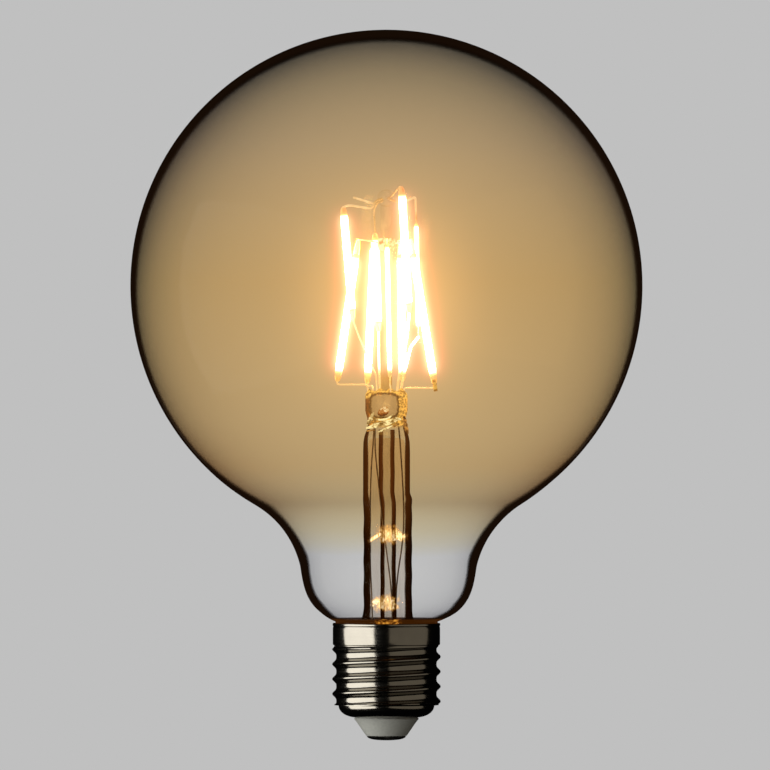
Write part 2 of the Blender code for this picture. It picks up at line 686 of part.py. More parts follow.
def make_electronics():
    block("driver_board", BOARD_SIZE, BOARD_CENTRE, "circuit_board")
    make_board_blocks()
    make_radio()
    capacitor_y = -(BOARD_FACE_Y + CAPACITOR_RADIUS)
    place = (CAPACITOR_PLACE[0], capacitor_y, CAPACITOR_PLACE[1])
    cylinder("bulk_capacitor", CAPACITOR_RADIUS, CAPACITOR_LENGTH, place, "capacitor_sleeve")
    inductor_y = -(BOARD_FACE_Y + INDUCTOR_RADIUS)
    place = (INDUCTOR_PLACE[0], inductor_y, INDUCTOR_PLACE[1])
    cylinder("inductor", INDUCTOR_RADIUS, INDUCTOR_LENGTH, place, "copper")
    sleeve = ring_profile(SLEEVE_RADIUS - SLEEVE_WALL, SLEEVE_RADIUS, SLEEVE_BOTTOM_Z, SLEEVE_TOP_Z)
    turned("board_sleeve", sleeve, "sleeve_plastic", 24, closed=True)
    wire("shell_wire", SHELL_WIRE_ROUTE, LEAD_RADIUS, "copper")
    wire("contact_wire", CONTACT_WIRE_ROUTE, LEAD_RADIUS, "copper")


clear_scene()
PARTS = make_collection("smart_light_bulb")
SLOTS = {name: make_material(name) for name in MATERIALS}
make_globe()
make_stem()
make_exhaust_tube()
make_post_and_beads()
make_light_source()
make_screw_shell()
make_insulator()
make_contact()
make_cement()
make_electronics()
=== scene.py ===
"""Looks of the smart filament bulb: tinted globe, glass stem, glowing filaments and a dark screw cap.

Lengths are in metres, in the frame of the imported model: the origin is the underside of the centre contact,
+Z runs up the bulb's axis, and the camera looks along +Y. Tables inside metres() are in millimetres.
"""
import math

import bmesh
import bpy
import numpy as np
from mathutils import Matrix, Vector


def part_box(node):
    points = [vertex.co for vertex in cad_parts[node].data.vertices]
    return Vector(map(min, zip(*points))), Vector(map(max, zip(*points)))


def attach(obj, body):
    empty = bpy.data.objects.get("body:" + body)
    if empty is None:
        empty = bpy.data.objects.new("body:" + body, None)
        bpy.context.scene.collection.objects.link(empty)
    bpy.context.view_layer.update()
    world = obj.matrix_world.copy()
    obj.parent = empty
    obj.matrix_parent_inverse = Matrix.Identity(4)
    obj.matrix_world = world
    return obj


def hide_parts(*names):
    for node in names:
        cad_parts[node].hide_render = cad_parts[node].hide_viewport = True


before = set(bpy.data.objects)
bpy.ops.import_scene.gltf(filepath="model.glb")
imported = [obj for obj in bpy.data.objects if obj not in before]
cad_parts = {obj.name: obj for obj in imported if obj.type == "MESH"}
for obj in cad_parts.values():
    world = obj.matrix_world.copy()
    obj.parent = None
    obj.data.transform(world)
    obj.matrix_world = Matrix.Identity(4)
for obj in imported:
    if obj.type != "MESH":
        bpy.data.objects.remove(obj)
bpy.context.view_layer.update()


def metres(table):
    """A table of millimetres, however deep, in metres."""
    if isinstance(table, tuple):
        return tuple(metres(part) for part in table)
    return table * 0.001


BODY = "root"
MERGE_DISTANCE = 0.0000005
BLACK = (0, 0, 0)
FULL_TURN = 2 * math.pi

# Glass globe: a sphere, a hollow bend to the neck, and a bulge that closes on the cap
GLOBE_LOW, GLOBE_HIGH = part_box("glass_globe")
GLOBE_RADIUS = GLOBE_HIGH.x
GLOBE_TOP_Z = GLOBE_HIGH.z
GLOBE_CENTRE_Z = GLOBE_TOP_Z - GLOBE_RADIUS
GLOBE_WALL = 0.0007
GLOBE_SIDES = 144
BALL_STEPS = 100
SHOULDER_STEPS = 20
BULGE_STEPS = 24
NECK_RADIUS = 0.0209
SHOULDER_BEND = 0.024
BULGE_TOP_Z = 0.0425
BULGE_PULLS = ((0.0207, 0.0368), (0.02, 0.0319))
SEAL_RADIUS = 0.0125
SEAL_TOP_Z = 0.02895
NECK_LEAN = 0.0005  # how far the hand-made neck stands off the axis
LEAN_TOP = (0.064, 0.052)  # heights over which the lean sets in below the ball
LEAN_FOOT = (0.0285, 0.0315)  # heights over which it is gone again at the seal

# Stem tube, its flare, and the exhaust tube inside it
STEM_RADIUS = 0.0059
STEM_WALL = 0.0009
STEM_SHOULDER_Z = 0.069
STEM_SIDES = 96
TUBE_STEPS = 60
# The stem's squeezed end and the end of its bore: half width, half depth, squareness and height
SQUEEZED_END = (
    (0.00463, 0.0031, 2.8, 0.077),
    (0.0048, 0.0034, 2.7, 0.0761),
    (0.0052, 0.0039, 2.5, 0.0752),
    (0.00556, 0.0045, 2.3, 0.0742),
    (0.00582, 0.0052, 2.1, 0.0728),
    (STEM_RADIUS, STEM_RADIUS, 2, 0.0705),
    (STEM_RADIUS, STEM_RADIUS, 2, STEM_SHOULDER_Z),
)
# Here the first two are shares of the bore's radius
BORE_END = (
    (1, 1, 2, STEM_SHOULDER_Z),
    (0.95, 0.8, 2.1, 0.0711),
    (0.91, 0.56, 2.3, 0.0724),
    (0.86, 0.34, 2.4, 0.0733),
    (0.6, 0.16, 2.2, 0.0738),
)
REHEATED_Z = 0.059
REHEATED_STEM = (0.0585, 0.0605)  # heights over which the stem becomes slimmer and straighter
STEM_SLIMMING = 0.03
STEM_SHIFT = (0.00033, 0.0003)  # how far it stands off the axis below there, and how much less above
STEM_WAVE = (0.00006, 900)  # how far it wavers below there, and how quickly with height
KINK_Z = 0.0588
KINK_REACH = 0.0011
KINK_BULGE = 0.02
REHEATED_EXHAUST = (0.0575, 0.061)
EXHAUST_WIDENING = 0.02
EXHAUST_SHIFT = (0.00042, 0.00037)
EXHAUST_WAVE = (0.00004, 700)
FLARE_TOP_Z = 0.033
FLARE_RADIUS = 0.0114
FLARE_BOTTOM_Z = 0.0253
FLARE_PULLS = ((0, 0.028), (0.0018, 0.0272))  # radius beyond the tube's, and height
EXHAUST_RADIUS = 0.0019
EXHAUST_BORE = 0.0009
EXHAUST_BOTTOM_Z = 0.0232
EXHAUST_TOP_Z = 0.0758

# Press
PRESS_BOTTOM_Z = 0.0742
PRESS_TOP_Z = 0.0847
PRESS_HALF_WIDTH = 0.00515
PRESS_HALF_DEPTH = 0.0027
PRESS_SQUARENESS = 3.2
PRESS_FOOT_SQUARENESS = 2.8
PRESS_FOOT_DEPTH = 1.2  # at its foot, as a share of its depth at the top
PRESS_WAIST = 0.1  # how much narrower it is below the heights that follow
PRESS_WAIST_ZONE = (0.0803, 0.0785)
PRESS_RINGS = (11, 8, 10)  # up its sides, round its corner, and over its flat top
BUMPY_RINGS = (12, 20)  # the rings over which the bumps set in
PRESS_CORNER = 0.0012
PRESS_CORNER_Z = PRESS_TOP_Z - 0.0007
PRESS_FOOT_Z = 0.0766
PRESS_BUMPS = (-0.0044, -0.0015, 0.001, 0.0037)  # where wires and the post leave the press
BUMP_HEIGHT = 0.00075
BUMP_REACH = (0.0008, 0.0016)  # across and in depth
PRESS_WINDOW = (-0.0005, 0.0817, 0.0033, 0.0028)  # its clear middle: centre X and Z, half width and height
PRESS_DROP = (-0.0007, -0.0024, 0.0803)
PRESS_DROP_SIZE = (0.00135, 0.0007, 0.0013)
# Ridges at the press's foot: points of X, depth and Z, then the ridge's radius
CREAM_FOLDS = metres((
    (((-4.7, 3, 76.2), (-2.8, 3.3, 76.8), (-0.6, 3.4, 77.3), (1, 3.4, 77.7), (2.1, 3.3, 78.4),
      (3.4, 3.1, 78.4)), 0.66),
    (((-4.6, 2.9, 77.1), (-3.8, 3, 78.5), (-3.2, 3, 79.8)), 0.56),
    (((-3.4, 3, 78.6), (-1.5, 3.1, 78.1), (0.4, 3.1, 78.5), (1.5, 3, 79.4)), 0.27),
    (((-2.1, 3.3, 75.2), (-0.6, 3.5, 75.8), (1.4, 3.5, 76.8)), 0.26),
))
AMBER_FOLDS = metres((
    (((-4.7, 2.9, 75.5), (-3, 3.3, 75.7)), 0.4),
    (((1.8, 3.3, 76.6), (3, 3.2, 77.2)), 0.5),
    (((4.3, 2.6, 79), (4.6, 2.8, 77), (5.2, 2.8, 74.8)), 0.55),
))
FOLD_SHAPE = (0.45, 1, 0.75, 1.1, 0.8, 1, 0.4)  # a ridge's thickness along it

# Post and beads
POST_RADIUS = 0.0014
POST_TOP_Z = 0.1306
CLEAR_POST = (0.088, 0.091)  # heights over which the post turns clear above its golden foot
TOP_BEAD_Z = 0.1323
TOP_BEAD_RADIUS = 0.0023
TOP_BEAD_HALF_HEIGHT = 0.0021
MIDDLE_BEAD_Z = 0.121
MIDDLE_BEAD_RADIUS = 0.00245
MIDDLE_BEAD_HALF_HEIGHT = 0.0016

# Filaments and wires
STRIP_WIDTH = 0.001764
STRIP_THICKNESS = 0.00098
STRIP_ROUNDING = 0.0009
STRIP_SQUARENESS = 3
STRIP_SIDES = 20
STRIP_STEPS = 90
STRIP_TIP = 0.85  # how far a strip's section shrinks at its tips, as a share of its square
CHIP_PITCH = 0.0011
CHIP_SWELL = 0.02
TAB_WIDTH = 0.0013
TAB_THICKNESS = 0.0003
TAB_SHAPE = (1.2, 1.2, 1, 0.8, 0.5, 0.3)  # a tab's width along it, as a share of TAB_WIDTH
TAB_OVERLAP = 0.0008  # how far a tab runs into its strip
TAB_TIP = 0.0002  # how far it reaches past the strip's end in the part
# How much bare tab each strip has at its top and at its foot
TAB_LENGTHS = {
    "upper": metres(((1.2, 2.2), (1.2, 2.2), (0.8, 2.2), (0.9, 2.2))),
    "lower": metres(((3.5, 1), (1, 1.2), (1, 1.4), (3.5, 1.2), (3.5, 1.3))),
}
CRIMP_SIZE = (0.001, 0.0009, 0.0029)
CRIMP_DROP = 0.0016  # how far the crimp reaches below its filament
CRIMP_END = 0.75  # its width at its ends, as a share of its full width
WIRE_RADIUS = 0.0002
THICK_WIRE_RADIUS = 0.00027
HOT_WIRE_RADIUS = 0.0003
THICK_ARMS = (("upper", 1), ("upper", 3))
LEAD_RADIUS = 0.00018
WIRE_SIDES = 12
HOT_RETURNS = {2: 25, 3: 25, 4: 5}  # return wires that shine with the strips beside them
FILAMENT_GLOW = (1, 0.6, 0.3)
# Each tier's strength, and how much of a strip's length its foot takes to light up
STRIP_GLOWS = {"upper": (51, 0.035), "lower": (72, 0.1)}
TAB_GLOWS = {
    ("top", "upper"): ((1, 0.52, 0.26), 0.9),
    ("foot", "upper"): ((0.9, 0.95, 0.66), 1),
    ("top", "lower"): ((1, 0.42, 0.04), 22),
    ("foot", "lower"): ((0.95, 0.6, 0.2), 0.9),
}

# Wires, from their glass end towards the filament that they hold, by tier and by the solids they stand for
WIRE_ROUTES = {
    ("upper", "top_support_wire"): metres((
        ((-1.2, 0, 132.2), (-2.8, -0.3, 131.6), (-3.5, -0.5, 129.7), (-9.2, -1.4, 130.6)),
        ((0.3, -0.6, 132.2), (1.2, -2.6, 132.6), (3.2, -6.2, 135)),
        ((1, 0.5, 132), (2.4, 1.6, 131.4), (5, 4.5, 131.7), (7.1, 7.1, 132.8)),
        ((-0.8, 0.8, 132), (-2.2, 1.9, 131.2), (-3.1, 3.4, 129.4), (-3, 4.2, 128)),
    )),
    ("upper", "return_wire"): metres((
        ((-2.3, -1, 84.3), (-2.3, -1, 85), (-2.5, -1, 89), (-6.7, -1.1, 98.5)),
        ((2.6, -1.4, 84.3), (2.6, -1.4, 85), (3, -2.4, 88.5), (5, -5.6, 98.5)),
        ((3.4, -0.2, 84.3), (3.4, -0.2, 85), (4.2, 1, 89), (6, 4, 96.2)),
        ((-1.5, 1.7, 84.3), (-1.5, 1.7, 85), (-1.7, 2, 88.5), (-1.9, 3.1, 94.5)),
    )),
    ("lower", "middle_support_wire"): metres((
        ((-1.8, 0.1, 121.2), (-2.9, 0.3, 121.6), (-5.8, 0.7, 122.2)),
        ((-0.2, 1.9, 121), (-0.4, 2.9, 121.2), (-1, 5.6, 121.8)),
        ((0.1, -1.9, 121), (0.1, -2.9, 121.2), (0.1, -5.8, 122)),
        ((1.2, 1.6, 121), (1.8, 2.4, 121.2), (3, 5.4, 122)),
        ((1.6, -1, 121.2), (2.5, -1.5, 121.4), (5, -3.2, 122)),
    )),
    ("lower", "press_wire"): metres((
        ((-4.4, -0.4, 84.3), (-4.5, -0.4, 85.3), (-4.7, -0.2, 86.8), (-6, 0.6, 86.8)),
        ((-3.3, 1.6, 84.3), (-3.3, 1.8, 85), (-3.3, 1.9, 86), (-3.5, 3.2, 86.5)),
        ((1, -1.9, 84.3), (1, -2.1, 85), (1, -2.2, 86), (1, -3.4, 86.5)),
        ((3.7, 1.2, 84.3), (3.8, 1.4, 85), (3.8, 1.6, 86), (3.8, 3, 86.6)),
        ((4.2, -0.5, 84.3), (4.2, -0.5, 85), (4.3, -0.6, 86), (5.8, -1.2, 86)),
    )),
}
FREE_ARM_ROUTE = metres(((-1, 0.3, 131.6), (-2.9, 0.9, 130.9), (-7.9, 3.2, 132.5)))
LEAD_ROUTES = metres((
    ((-3, -0.6, 76.5), (-3.3, -0.8, 72), (-3.9, -0.8, 64.2), (-4.1, -0.8, 45), (-3.5, -1, 34),
     (-3.4, -1.4, 26), (-4, -1.4, 21)),
    ((-2.8, -0.8, 76.5), (-2.8, -1.4, 71.6), (-2.6, -2.2, 69), (-1.8, -2.9, 61), (-0.2, -3.2, 47.6),
     (1.3, -3, 36.6), (1.5, -2.7, 26), (1.5, -1.4, 21)),
    ((3, 0.6, 76.5), (3.4, 0.8, 72), (4.3, 0.6, 57.4), (4.1, 0.4, 48.8), (2.3, 1.6, 37.9),
     (2.3, 1.8, 26), (5, -0.4, 23.4), (6, -1.4, 21)),
))
WIRE_BEND = 0.0009
LEAD_BEND = 0.02

# Screw cap
SHELL_WALL = 0.00035
SKIRT_RADIUS = 0.0131
RIM_Z = 0.0286
# The rolled rim above the skirt: how far each point stands off the skirt, and how far below the rim
RIM_ROLL = metres(((-0.1, 0), (0.04, 0.2), (0.04, 0.5), (-0.12, 0.8), (-0.02, 1.1), (0, 1.4)))
THREAD_TOP_Z = 0.0232
THREAD_BOTTOM_Z = 0.0086
THREAD_PITCH = 0.00363
THREAD_CREST_RADIUS = 0.01325
THREAD_ROOT_RADIUS = 0.01225
THREAD_START_Z = 0.0095
THREAD_RUN_OUT_TOP = 0.0009
THREAD_RUN_OUT_BOTTOM = 0.0005
THREAD_SHARPNESS = 1.9  # crests are narrower than roots above 1
BOWL_LEDGE_RADIUS = 0.0117
BOWL_BOTTOM_Z = 0.0056
BOWL_RADIUS = 0.0079
BOWL_PULLS = ((0.0116, 0.007), (0.0103, 0.0059))
SHELL_SIDES = 192
ROWS_PER_PITCH = 20
INSULATOR_WIDE = 0.0079
INSULATOR_NARROW = 0.0051
INSULATOR_BOTTOM_Z = 0.0011
INSULATOR_TOP_Z = 0.007
CONTACT_RADIUS = 0.0048
CONTACT_FLAT_RADIUS = 0.0036
CONTACT_RIVET_RADIUS = 0.0011
CONTACT_RIVET_TOP_Z = 0.0072
FIT_GAP = 0.0001

# Light in the glass, in linear colour
WALL_FACES = 4  # a line of sight crosses two walls, and each has two faces
# What one face of the stem's inside lets through, by height
STEM_TINTS = (
    (0.04, (0.97, 0.935, 0.92)),
    (0.048, (0.97, 0.93, 0.9)),
    (0.054, (1.000, 0.926, 0.83)),
    (0.074, (1.000, 0.926, 0.83)),
)
# The globe's glass by height: its colour straight through, and how fast that darkens towards the rim
GLASS_ZONES = (
    (0.045, (1.00, 1.00, 1.00), (0.3, 0.3, 0.28)),
    (0.048, (1.00, 0.94, 0.78), (0.29, 0.3, 0.29)),
    (0.0513, (1.00, 0.88, 0.62), (0.29, 0.3, 0.3)),
    (0.0586, (1.00, 0.82, 0.465), (0.36, 0.42, 0.43)),
    (0.067, (1.00, 0.73, 0.355), (0.33, 0.37, 0.38)),
    (0.078, (1.00, 0.71, 0.335), (0.34, 0.34, 0.33)),
    (0.112, (0.997, 0.654, 0.266), (0.54, 0.46, 0.37)),
    (0.146, (0.92, 0.66, 0.34), (0.78, 0.71, 0.56)),
    (0.1734, (0.92, 0.66, 0.34), (0.78, 0.71, 0.56)),
)
# The globe's dark rim by height: its extra width, and the inner wall's radius over the outer wall's
RIM_SHAPE = (
    (0.03, (0.12, 0.975, 0)),
    (0.0335, (0.25, 0.965, 0)),
    (0.045, (0.27, 0.967, 0)),
    (0.058, (0.07, 0.985, 0)),
    (0.0708, (0.008, 0.9888, 0)),
    (0.111, (0.05, 0.9888, 0)),
    (0.161, (0.1, 0.9888, 0)),
    (0.1734, (0.135, 0.9888, 0)),
)
RIM_OFFSET = 0.05  # taken off the widths above, which a ramp can only hold from zero up
RIM_FADE = (0.13, 0.255)  # how far a wall is turned to the eye where it is dark, and where it is clear
# A faint brown glow painted into the globe's dark rim
RIM_BROWN = (0.0085, 0.0038, 0.0016)
# A faint warm glow painted into the globe's wall for the filaments' light scattered in the glass: its hue and
# strength
WALL_GLOW_HUE = (1, 0.4, 0.13)
WALL_GLOW_STRENGTH = 0.0085
SEAL_GLOW_TOP_Z = 0.0299
# Patches of caught light in the stem: X of the middle and its inner and outer reach, then the same for Z
GLINTS = {
    "left": metres(((-3.1, 1.2, 1.9), (51.3, 0.15, 0.7))),
    "right": metres(((3.9, 1.5, 2.4), (49.9, 0.35, 1.1))),
    "spark": metres(((-2.7, 0.3, 1.2), (33.6, 0.4, 1))),
    "gold": metres(((0.3, 1.4, 2.3), (50.2, 1, 2.7))),
    "foot": metres(((-0.1, 2, 3.2), (33.4, 1, 2.1))),
}
LEFT_GLINT_SLOPE = 0.63

# Studio, camera and lens
BACKDROP_GREY = (0.527,) * 3
DIM_ROOM = (0.045,) * 3  # what matt surfaces see round them
DARK_ROOM = (0.0015,) * 3  # what polished metal sees round it
FLOOR_SIZE = 8
FLOOR_Z = -0.45
FLOOR_CELLS = 8
FLOOR_LIGHT = 0.5  # the floor's own light, which keeps it pale where no softbox reaches
CAMERA_DISTANCE = 3
LENS_PER_METRE = 191.55  # focal length in millimetres that fills the frame from a metre away
CAMERA_X = -0.00035
# The lens's glow: its spread in the picture, its share, and its tint
BLOOM = ((11, 0.034, (0.5, 1.1, 2)), (26, 0.018, (1.8, 0.48, 1.1)), (110, 0.0255, (1, 1.05, 1.1)))


# Shapes


def spread(first, last, steps):
    """Evenly spaced numbers from first to last."""
    return [first + (last - first) * step / steps for step in range(steps + 1)]


def arc(centre, radius, start, end, steps):
    """Points (r, z) of an arc, with its angles measured from the +r direction."""
    angles = spread(start, end, steps)
    return [(centre[0] + radius * math.cos(a), centre[1] + radius * math.sin(a)) for a in angles]


def bezier(start, pull_start, pull_end, end, steps):
    """Points of a cubic curve."""
    points = []
    ends = (start, pull_start, pull_end, end)
    for t in spread(0, 1, steps):
        s = 1 - t
        weights = (s**3, 3 * s * s * t, 3 * s * t * t, t**3)
        points.append(tuple(sum(w * p[axis] for w, p in zip(weights, ends)) for axis in range(len(start))))
    return points


def blend(low, high, value):
    """0 at low, 1 at high, and smooth between them. low may be the larger."""
    t = min(max((value - low) / (high - low), 0), 1)
    return t * t * (3 - 2 * t)


def new_piece(name, bm):
    """An object with the mesh that bm holds."""
    mesh = bpy.data.meshes.new(name)
    bm.to_mesh(mesh)
    bm.free()
    piece = bpy.data.objects.new(name, mesh)
    bpy.context.scene.collection.objects.link(piece)
    return piece


def skin(name, rings, loop=False, inner_from=None):
    """A mesh over rings of points. A loop joins its last ring to its first; other skins are capped."""
    bm = bmesh.new()
    rows = [[bm.verts.new(point) for point in ring] for ring in rings]
    if loop:
        rows.append(rows[0])
    for number, (first, second) in enumerate(zip(rows, rows[1:])):
        inner = inner_from is not None and number >= inner_from
        for here in range(len(first)):
            there = (here + 1) % len(first)
            face = bm.faces.new((first[here], second[here], second[there], first[there]))
            face.material_index = int(inner)
    if not loop:
        bm.faces.new(rows[0])
        bm.faces.new(rows[-1][::-1])
    bmesh.ops.remove_doubles(bm, verts=bm.verts, dist=MERGE_DISTANCE)
    bmesh.ops.recalc_face_normals(bm, faces=bm.faces)
    piece = new_piece(name, bm)
    piece.data.shade_smooth()
    piece.data.set_sharp_from_angle(angle=math.radians(40))
    return piece


def ring(radius, z, sides):
    """A level circle about the bulb's axis."""
    return [(radius * math.cos(a), radius * math.sin(a), z) for a in spread(0, FULL_TURN, sides)[:-1]]


def turn(name, profile, sides, **options):
    """A profile of (r, z) points turned about the bulb's axis."""
    return skin(name, [ring(r, z, sides) for r, z in profile], **options)


def oblong(half_width, half_depth, squareness, z, sides=STEM_SIDES):
    """A level ring: a circle at squareness 2, and nearer a rounded rectangle above that."""
    points = []
    for angle in spread(0, FULL_TURN, sides)[:-1]:
        cos, sin = math.cos(angle), math.sin(angle)
        x = half_width * math.copysign(abs(cos) ** (2 / squareness), cos)
        y = half_depth * math.copysign(abs(sin) ** (2 / squareness), sin)
        points.append((x, y, z))
    return points


def soften(route, bend, steps=8):
    """A route with each corner rounded over a distance bend, or half a leg where that is shorter."""
    points = [Vector(point) for point in route]
    path = [points[0]]
    for before, corner, after in zip(points, points[1:], points[2:]):
        start = corner + (before - corner) * min(bend / (before - corner).length, 0.5)
        end = corner + (after - corner) * min(bend / (after - corner).length, 0.5)
        path += [start.lerp(corner, t).lerp(corner.lerp(end, t), t) for t in spread(0, 1, steps)]
    path.append(points[-1])
    return [p for n, p in enumerate(path) if n == 0 or (p - path[n - 1]).length > MERGE_DISTANCE]


def sweep(name, path, radius, sides=WIRE_SIDES):
    """A round tube along a path, with domed ends. radius is a function of the path's share."""
    last = len(path) - 1
    along = [(path[min(n + 1, last)] - path[max(n - 1, 0)]).normalized() for n in range(last + 1)]
    side = along[0].orthogonal().normalized()
    rings = []
    for number, (point, forward) in enumerate(zip(path, along)):
        side = (side - forward * side.dot(forward)).normalized()
        rings.append((point, forward, side, radius(number / last)))
    rings = domed(rings[0], -1)[::-1] + rings + domed(rings[-1], 1)
    return skin(name, [circle(*spec, sides) for spec in rings])


def circle(centre, forward, side, radius, sides):
    """A circle of points round a direction."""
    other = forward.cross(side)
    angles = spread(0, FULL_TURN, sides)[:-1]
    return [centre + (side * math.cos(a) + other * math.sin(a)) * radius for a in angles]


def domed(end, way, steps=4):
    """Shrinking rings that close the end of a tube with a dome."""
    point, forward, side, radius = end
    rings = []
    for angle in spread(0, math.pi / 2, steps)[1:]:
        shift = forward * (way * radius * math.sin(angle))
        rings.append((point + shift, forward, side, radius * math.cos(angle)))
    return rings


def uneven(sizes):
    """A tube's radius along its length, which runs smoothly through a few sizes."""
    def radius(share):
        place = share * (len(sizes) - 1)
        first = min(int(place), len(sizes) - 2)
        mix = blend(0, 1, place - first)
        return sizes[first] * (1 - mix) + sizes[first + 1] * mix
    return radius


def finish(piece, slot, materials, *nodes):
    """Dress a piece, fix it to the bulb, and hide the part's own solids that it stands for."""
    for made in materials:
        piece.data.materials.append(made)
    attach(piece, BODY)
    if nodes:
        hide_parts(*nodes)


# Material nodes


class Value:
    """An output of a material's nodes. It takes part in sums as a number does, and shaders can be added."""

    def __init__(self, socket):
        self.socket = socket
        self.tree = socket.id_data

    def __add__(self, other):
        if self.socket.type == "SHADER":
            return add("AddShader", {0: self, 1: other})
        return calc("ADD", self, other)

    def __sub__(self, other):
        return calc("SUBTRACT", self, other)

    def __rsub__(self, other):
        return calc("SUBTRACT", other, self)

    def __mul__(self, other):
        return calc("MULTIPLY", self, other)

    def __pow__(self, other):
        return calc("POWER", self, other)


def new_node(tree, kind, inputs, **settings):
    """A new node. inputs gives its sockets numbers, colours or Values, and settings are its properties."""
    node = tree.nodes.new(kind)
    for key, value in settings.items():
        setattr(node, key, value)
    for key, value in inputs.items():
        socket = node.inputs[key]
        if isinstance(value, Value):
            tree.links.new(value.socket, socket)
        elif socket.type == "RGBA":
            socket.default_value = (*value, 1)
        else:
            socket.default_value = value
    return node


def add(kind, inputs, output=0, tree=None, **settings):
    """One output of a new shader node. Its tree is that of its inputs, unless it is given."""
    if tree is None:
        tree = next(value.tree for value in inputs.values() if isinstance(value, Value))
    return Value(new_node(tree, "ShaderNode" + kind, inputs, **settings).outputs[output])


def calc(operation, first, second=0, clamp=False):
    return add("Math", {0: first, 1: second}, operation=operation, use_clamp=clamp)


def larger(first, second):
    return calc("MAXIMUM", first, second)


def fade(value, low, high, smooth=True):
    """0 where value is at low, 1 where it is at high."""
    kind = "SMOOTHSTEP" if smooth else "LINEAR"
    inputs = {"Value": value, "From Min": low, "From Max": high}
    return add("MapRange", inputs, "Result", interpolation_type=kind, clamp=True)


def near(value, middle, inner, outer):
    """1 where value is within inner of middle, 0 beyond outer."""
    return fade(calc("ABSOLUTE", value - middle), outer, inner)


def ramp(factor, *stops):
    """A colour ramp. stops are (position, colour) in order."""
    node = new_node(factor.tree, "ShaderNodeValToRGB", {"Fac": factor})
    elements = node.color_ramp.elements
    elements.remove(elements[1])
    elements[0].position = stops[0][0]
    elements[0].color = (*stops[0][1], 1)
    for position, colour in stops[1:]:
        elements.new(position).color = (*colour, 1)
    return Value(node.outputs["Color"])


def mix_colour(factor, first, second, how="MIX"):
    inputs = {0: factor, 6: first, 7: second}
    return add("Mix", inputs, 2, data_type="RGBA", blend_type=how)


def split(value, kind="XYZ"):
    """The three parts of a vector, or of a colour where kind is Color."""
    node = new_node(value.tree, "ShaderNodeSeparate" + kind, {0: value})
    return [Value(part) for part in node.outputs]


def stretched(point, *scale):
    return add("Mapping", {"Vector": point, "Scale": scale})


def noise(point, scale, detail=3, roughness=0.5):
    inputs = {"Vector": point, "Scale": scale, "Detail": detail, "Roughness": roughness}
    return add("TexNoise", inputs, "Fac")


def turned_away(point):
    """0 where a surface faces the eye, and 1 where it is seen edge on."""
    return add("LayerWeight", {"Blend": 0.5}, "Facing", point.tree)


def by_height(height, stops):
    """A colour that changes with height. stops are (height, colour) in order."""
    low, high = stops[0][0], stops[-1][0]
    share = fade(height, low, high, smooth=False)
    return ramp(share, *[((z - low) / (high - low), colour) for z, colour in stops])


def clear(colour):
    return add("BsdfTransparent", {"Color": colour})


def emit(colour, strength):
    return add("Emission", {"Color": colour, "Strength": strength})


def cover(share, over):
    """A shader that shows only by its share, with nothing under the rest."""
    nothing = add("BsdfTransparent", {}, tree=over.tree)
    return add("MixShader", {0: share, 1: nothing, 2: over})


def glossed(body, share, roughness):
    """A shader with a gloss over it."""
    gloss = add("BsdfGlossy", {"Roughness": roughness}, tree=body.tree)
    return add("MixShader", {0: share, 1: body, 2: gloss})


def solid(colour, roughness, metallic=0, glow=None, strength=1, bump=None):
    """An opaque surface. It may catch a glow, and a bump is a height and its strength."""
    inputs = {"Base Color": colour, "Roughness": roughness, "Metallic": metallic}
    if glow is not None:
        inputs.update({"Emission Color": glow, "Emission Strength": strength})
    if bump is not None:
        height, depth = bump
        inputs["Normal"] = add("Bump", {"Height": height, "Strength": depth, "Distance": 0.0001})
    return add("BsdfPrincipled", inputs)


def material(name, look, *values):
    """A material whose surface is what look returns, given the point on the piece and some values."""
    made = bpy.data.materials.new(name)
    made.use_nodes = True
    tree = made.node_tree
    tree.nodes.clear()
    point = add("TexCoord", {}, "Object", tree)
    new_node(tree, "ShaderNodeOutputMaterial", {"Surface": look(point, *values)})
    return made


# Glass


def wall_colour(height, longer):
    """What one face of the globe's wall lets through. longer is the extra length of a slanted path."""
    straight = [(z, [t ** (1 / WALL_FACES) for t in tint]) for z, tint, _ in GLASS_ZONES]
    falls = [(z, [math.exp(-d / WALL_FACES) for d in depth]) for z, _, depth in GLASS_ZONES]
    through = split(by_height(height, straight), "Color")
    fall = split(by_height(height, falls), "Color")
    channels = [fall[number] ** longer * through[number] for number in range(3)]
    return add("CombineColor", dict(enumerate(channels)))


def globe_glass(point, inner):
    """Thin tinted glass, clear at the neck, dark where it is seen edge on, with a faint painted warm glow of
    the filaments' light in its wall and a faint painted brown glow in its dark rim.

    The inner wall turns away sooner than the outer one, so it uses the outer wall's angle at the same place.
    """
    height = split(point)[2]
    facing = turned_away(point)
    extra_width, radius_ratio, _ = split(by_height(height, RIM_SHAPE), "Color")
    ripple = noise(stretched(point, 1, 1, 0.4), 60) - 0.5
    cos = 1 - facing
    if inner:
        cos = calc("SQRT", 1 - (1 - cos * cos) * (radius_ratio * radius_ratio))
    cos = larger(cos, 0.03)
    longer = calc("DIVIDE", 1, cos) - 1
    edge = fade(cos + RIM_OFFSET - extra_width + ripple * 0.02, *RIM_FADE)
    seal = fade(height, SEAL_GLOW_TOP_Z, SEAL_TOP_Z + 0.0006)
    colour = mix_colour(edge, BLACK, wall_colour(height + ripple * 0.0025, longer))
    colour = mix_colour(seal * 0.8, colour, (0.05, 0.02, 0.01))
    below_top = fade(height, GLOBE_TOP_Z - 0.006, GLOBE_CENTRE_Z + 0.028)
    above_neck = fade(height, GLASS_ZONES[0][0], GLASS_ZONES[4][0])
    # Painted light: the faint warm glow of the filaments in the wall, fading out towards the top and the neck
    body = clear(colour) + emit(WALL_GLOW_HUE, below_top * above_neck * (edge * WALL_GLOW_STRENGTH))
    if not inner:
        # Painted light on the outer wall: the amber glow at the seal and a faint brown glow in the dark rim
        body = body + seal_glow(point, seal) + emit(RIM_BROWN, 1 - edge)
    return glossed(body, facing**4 * 0.1 + 0.0015, 0.04)


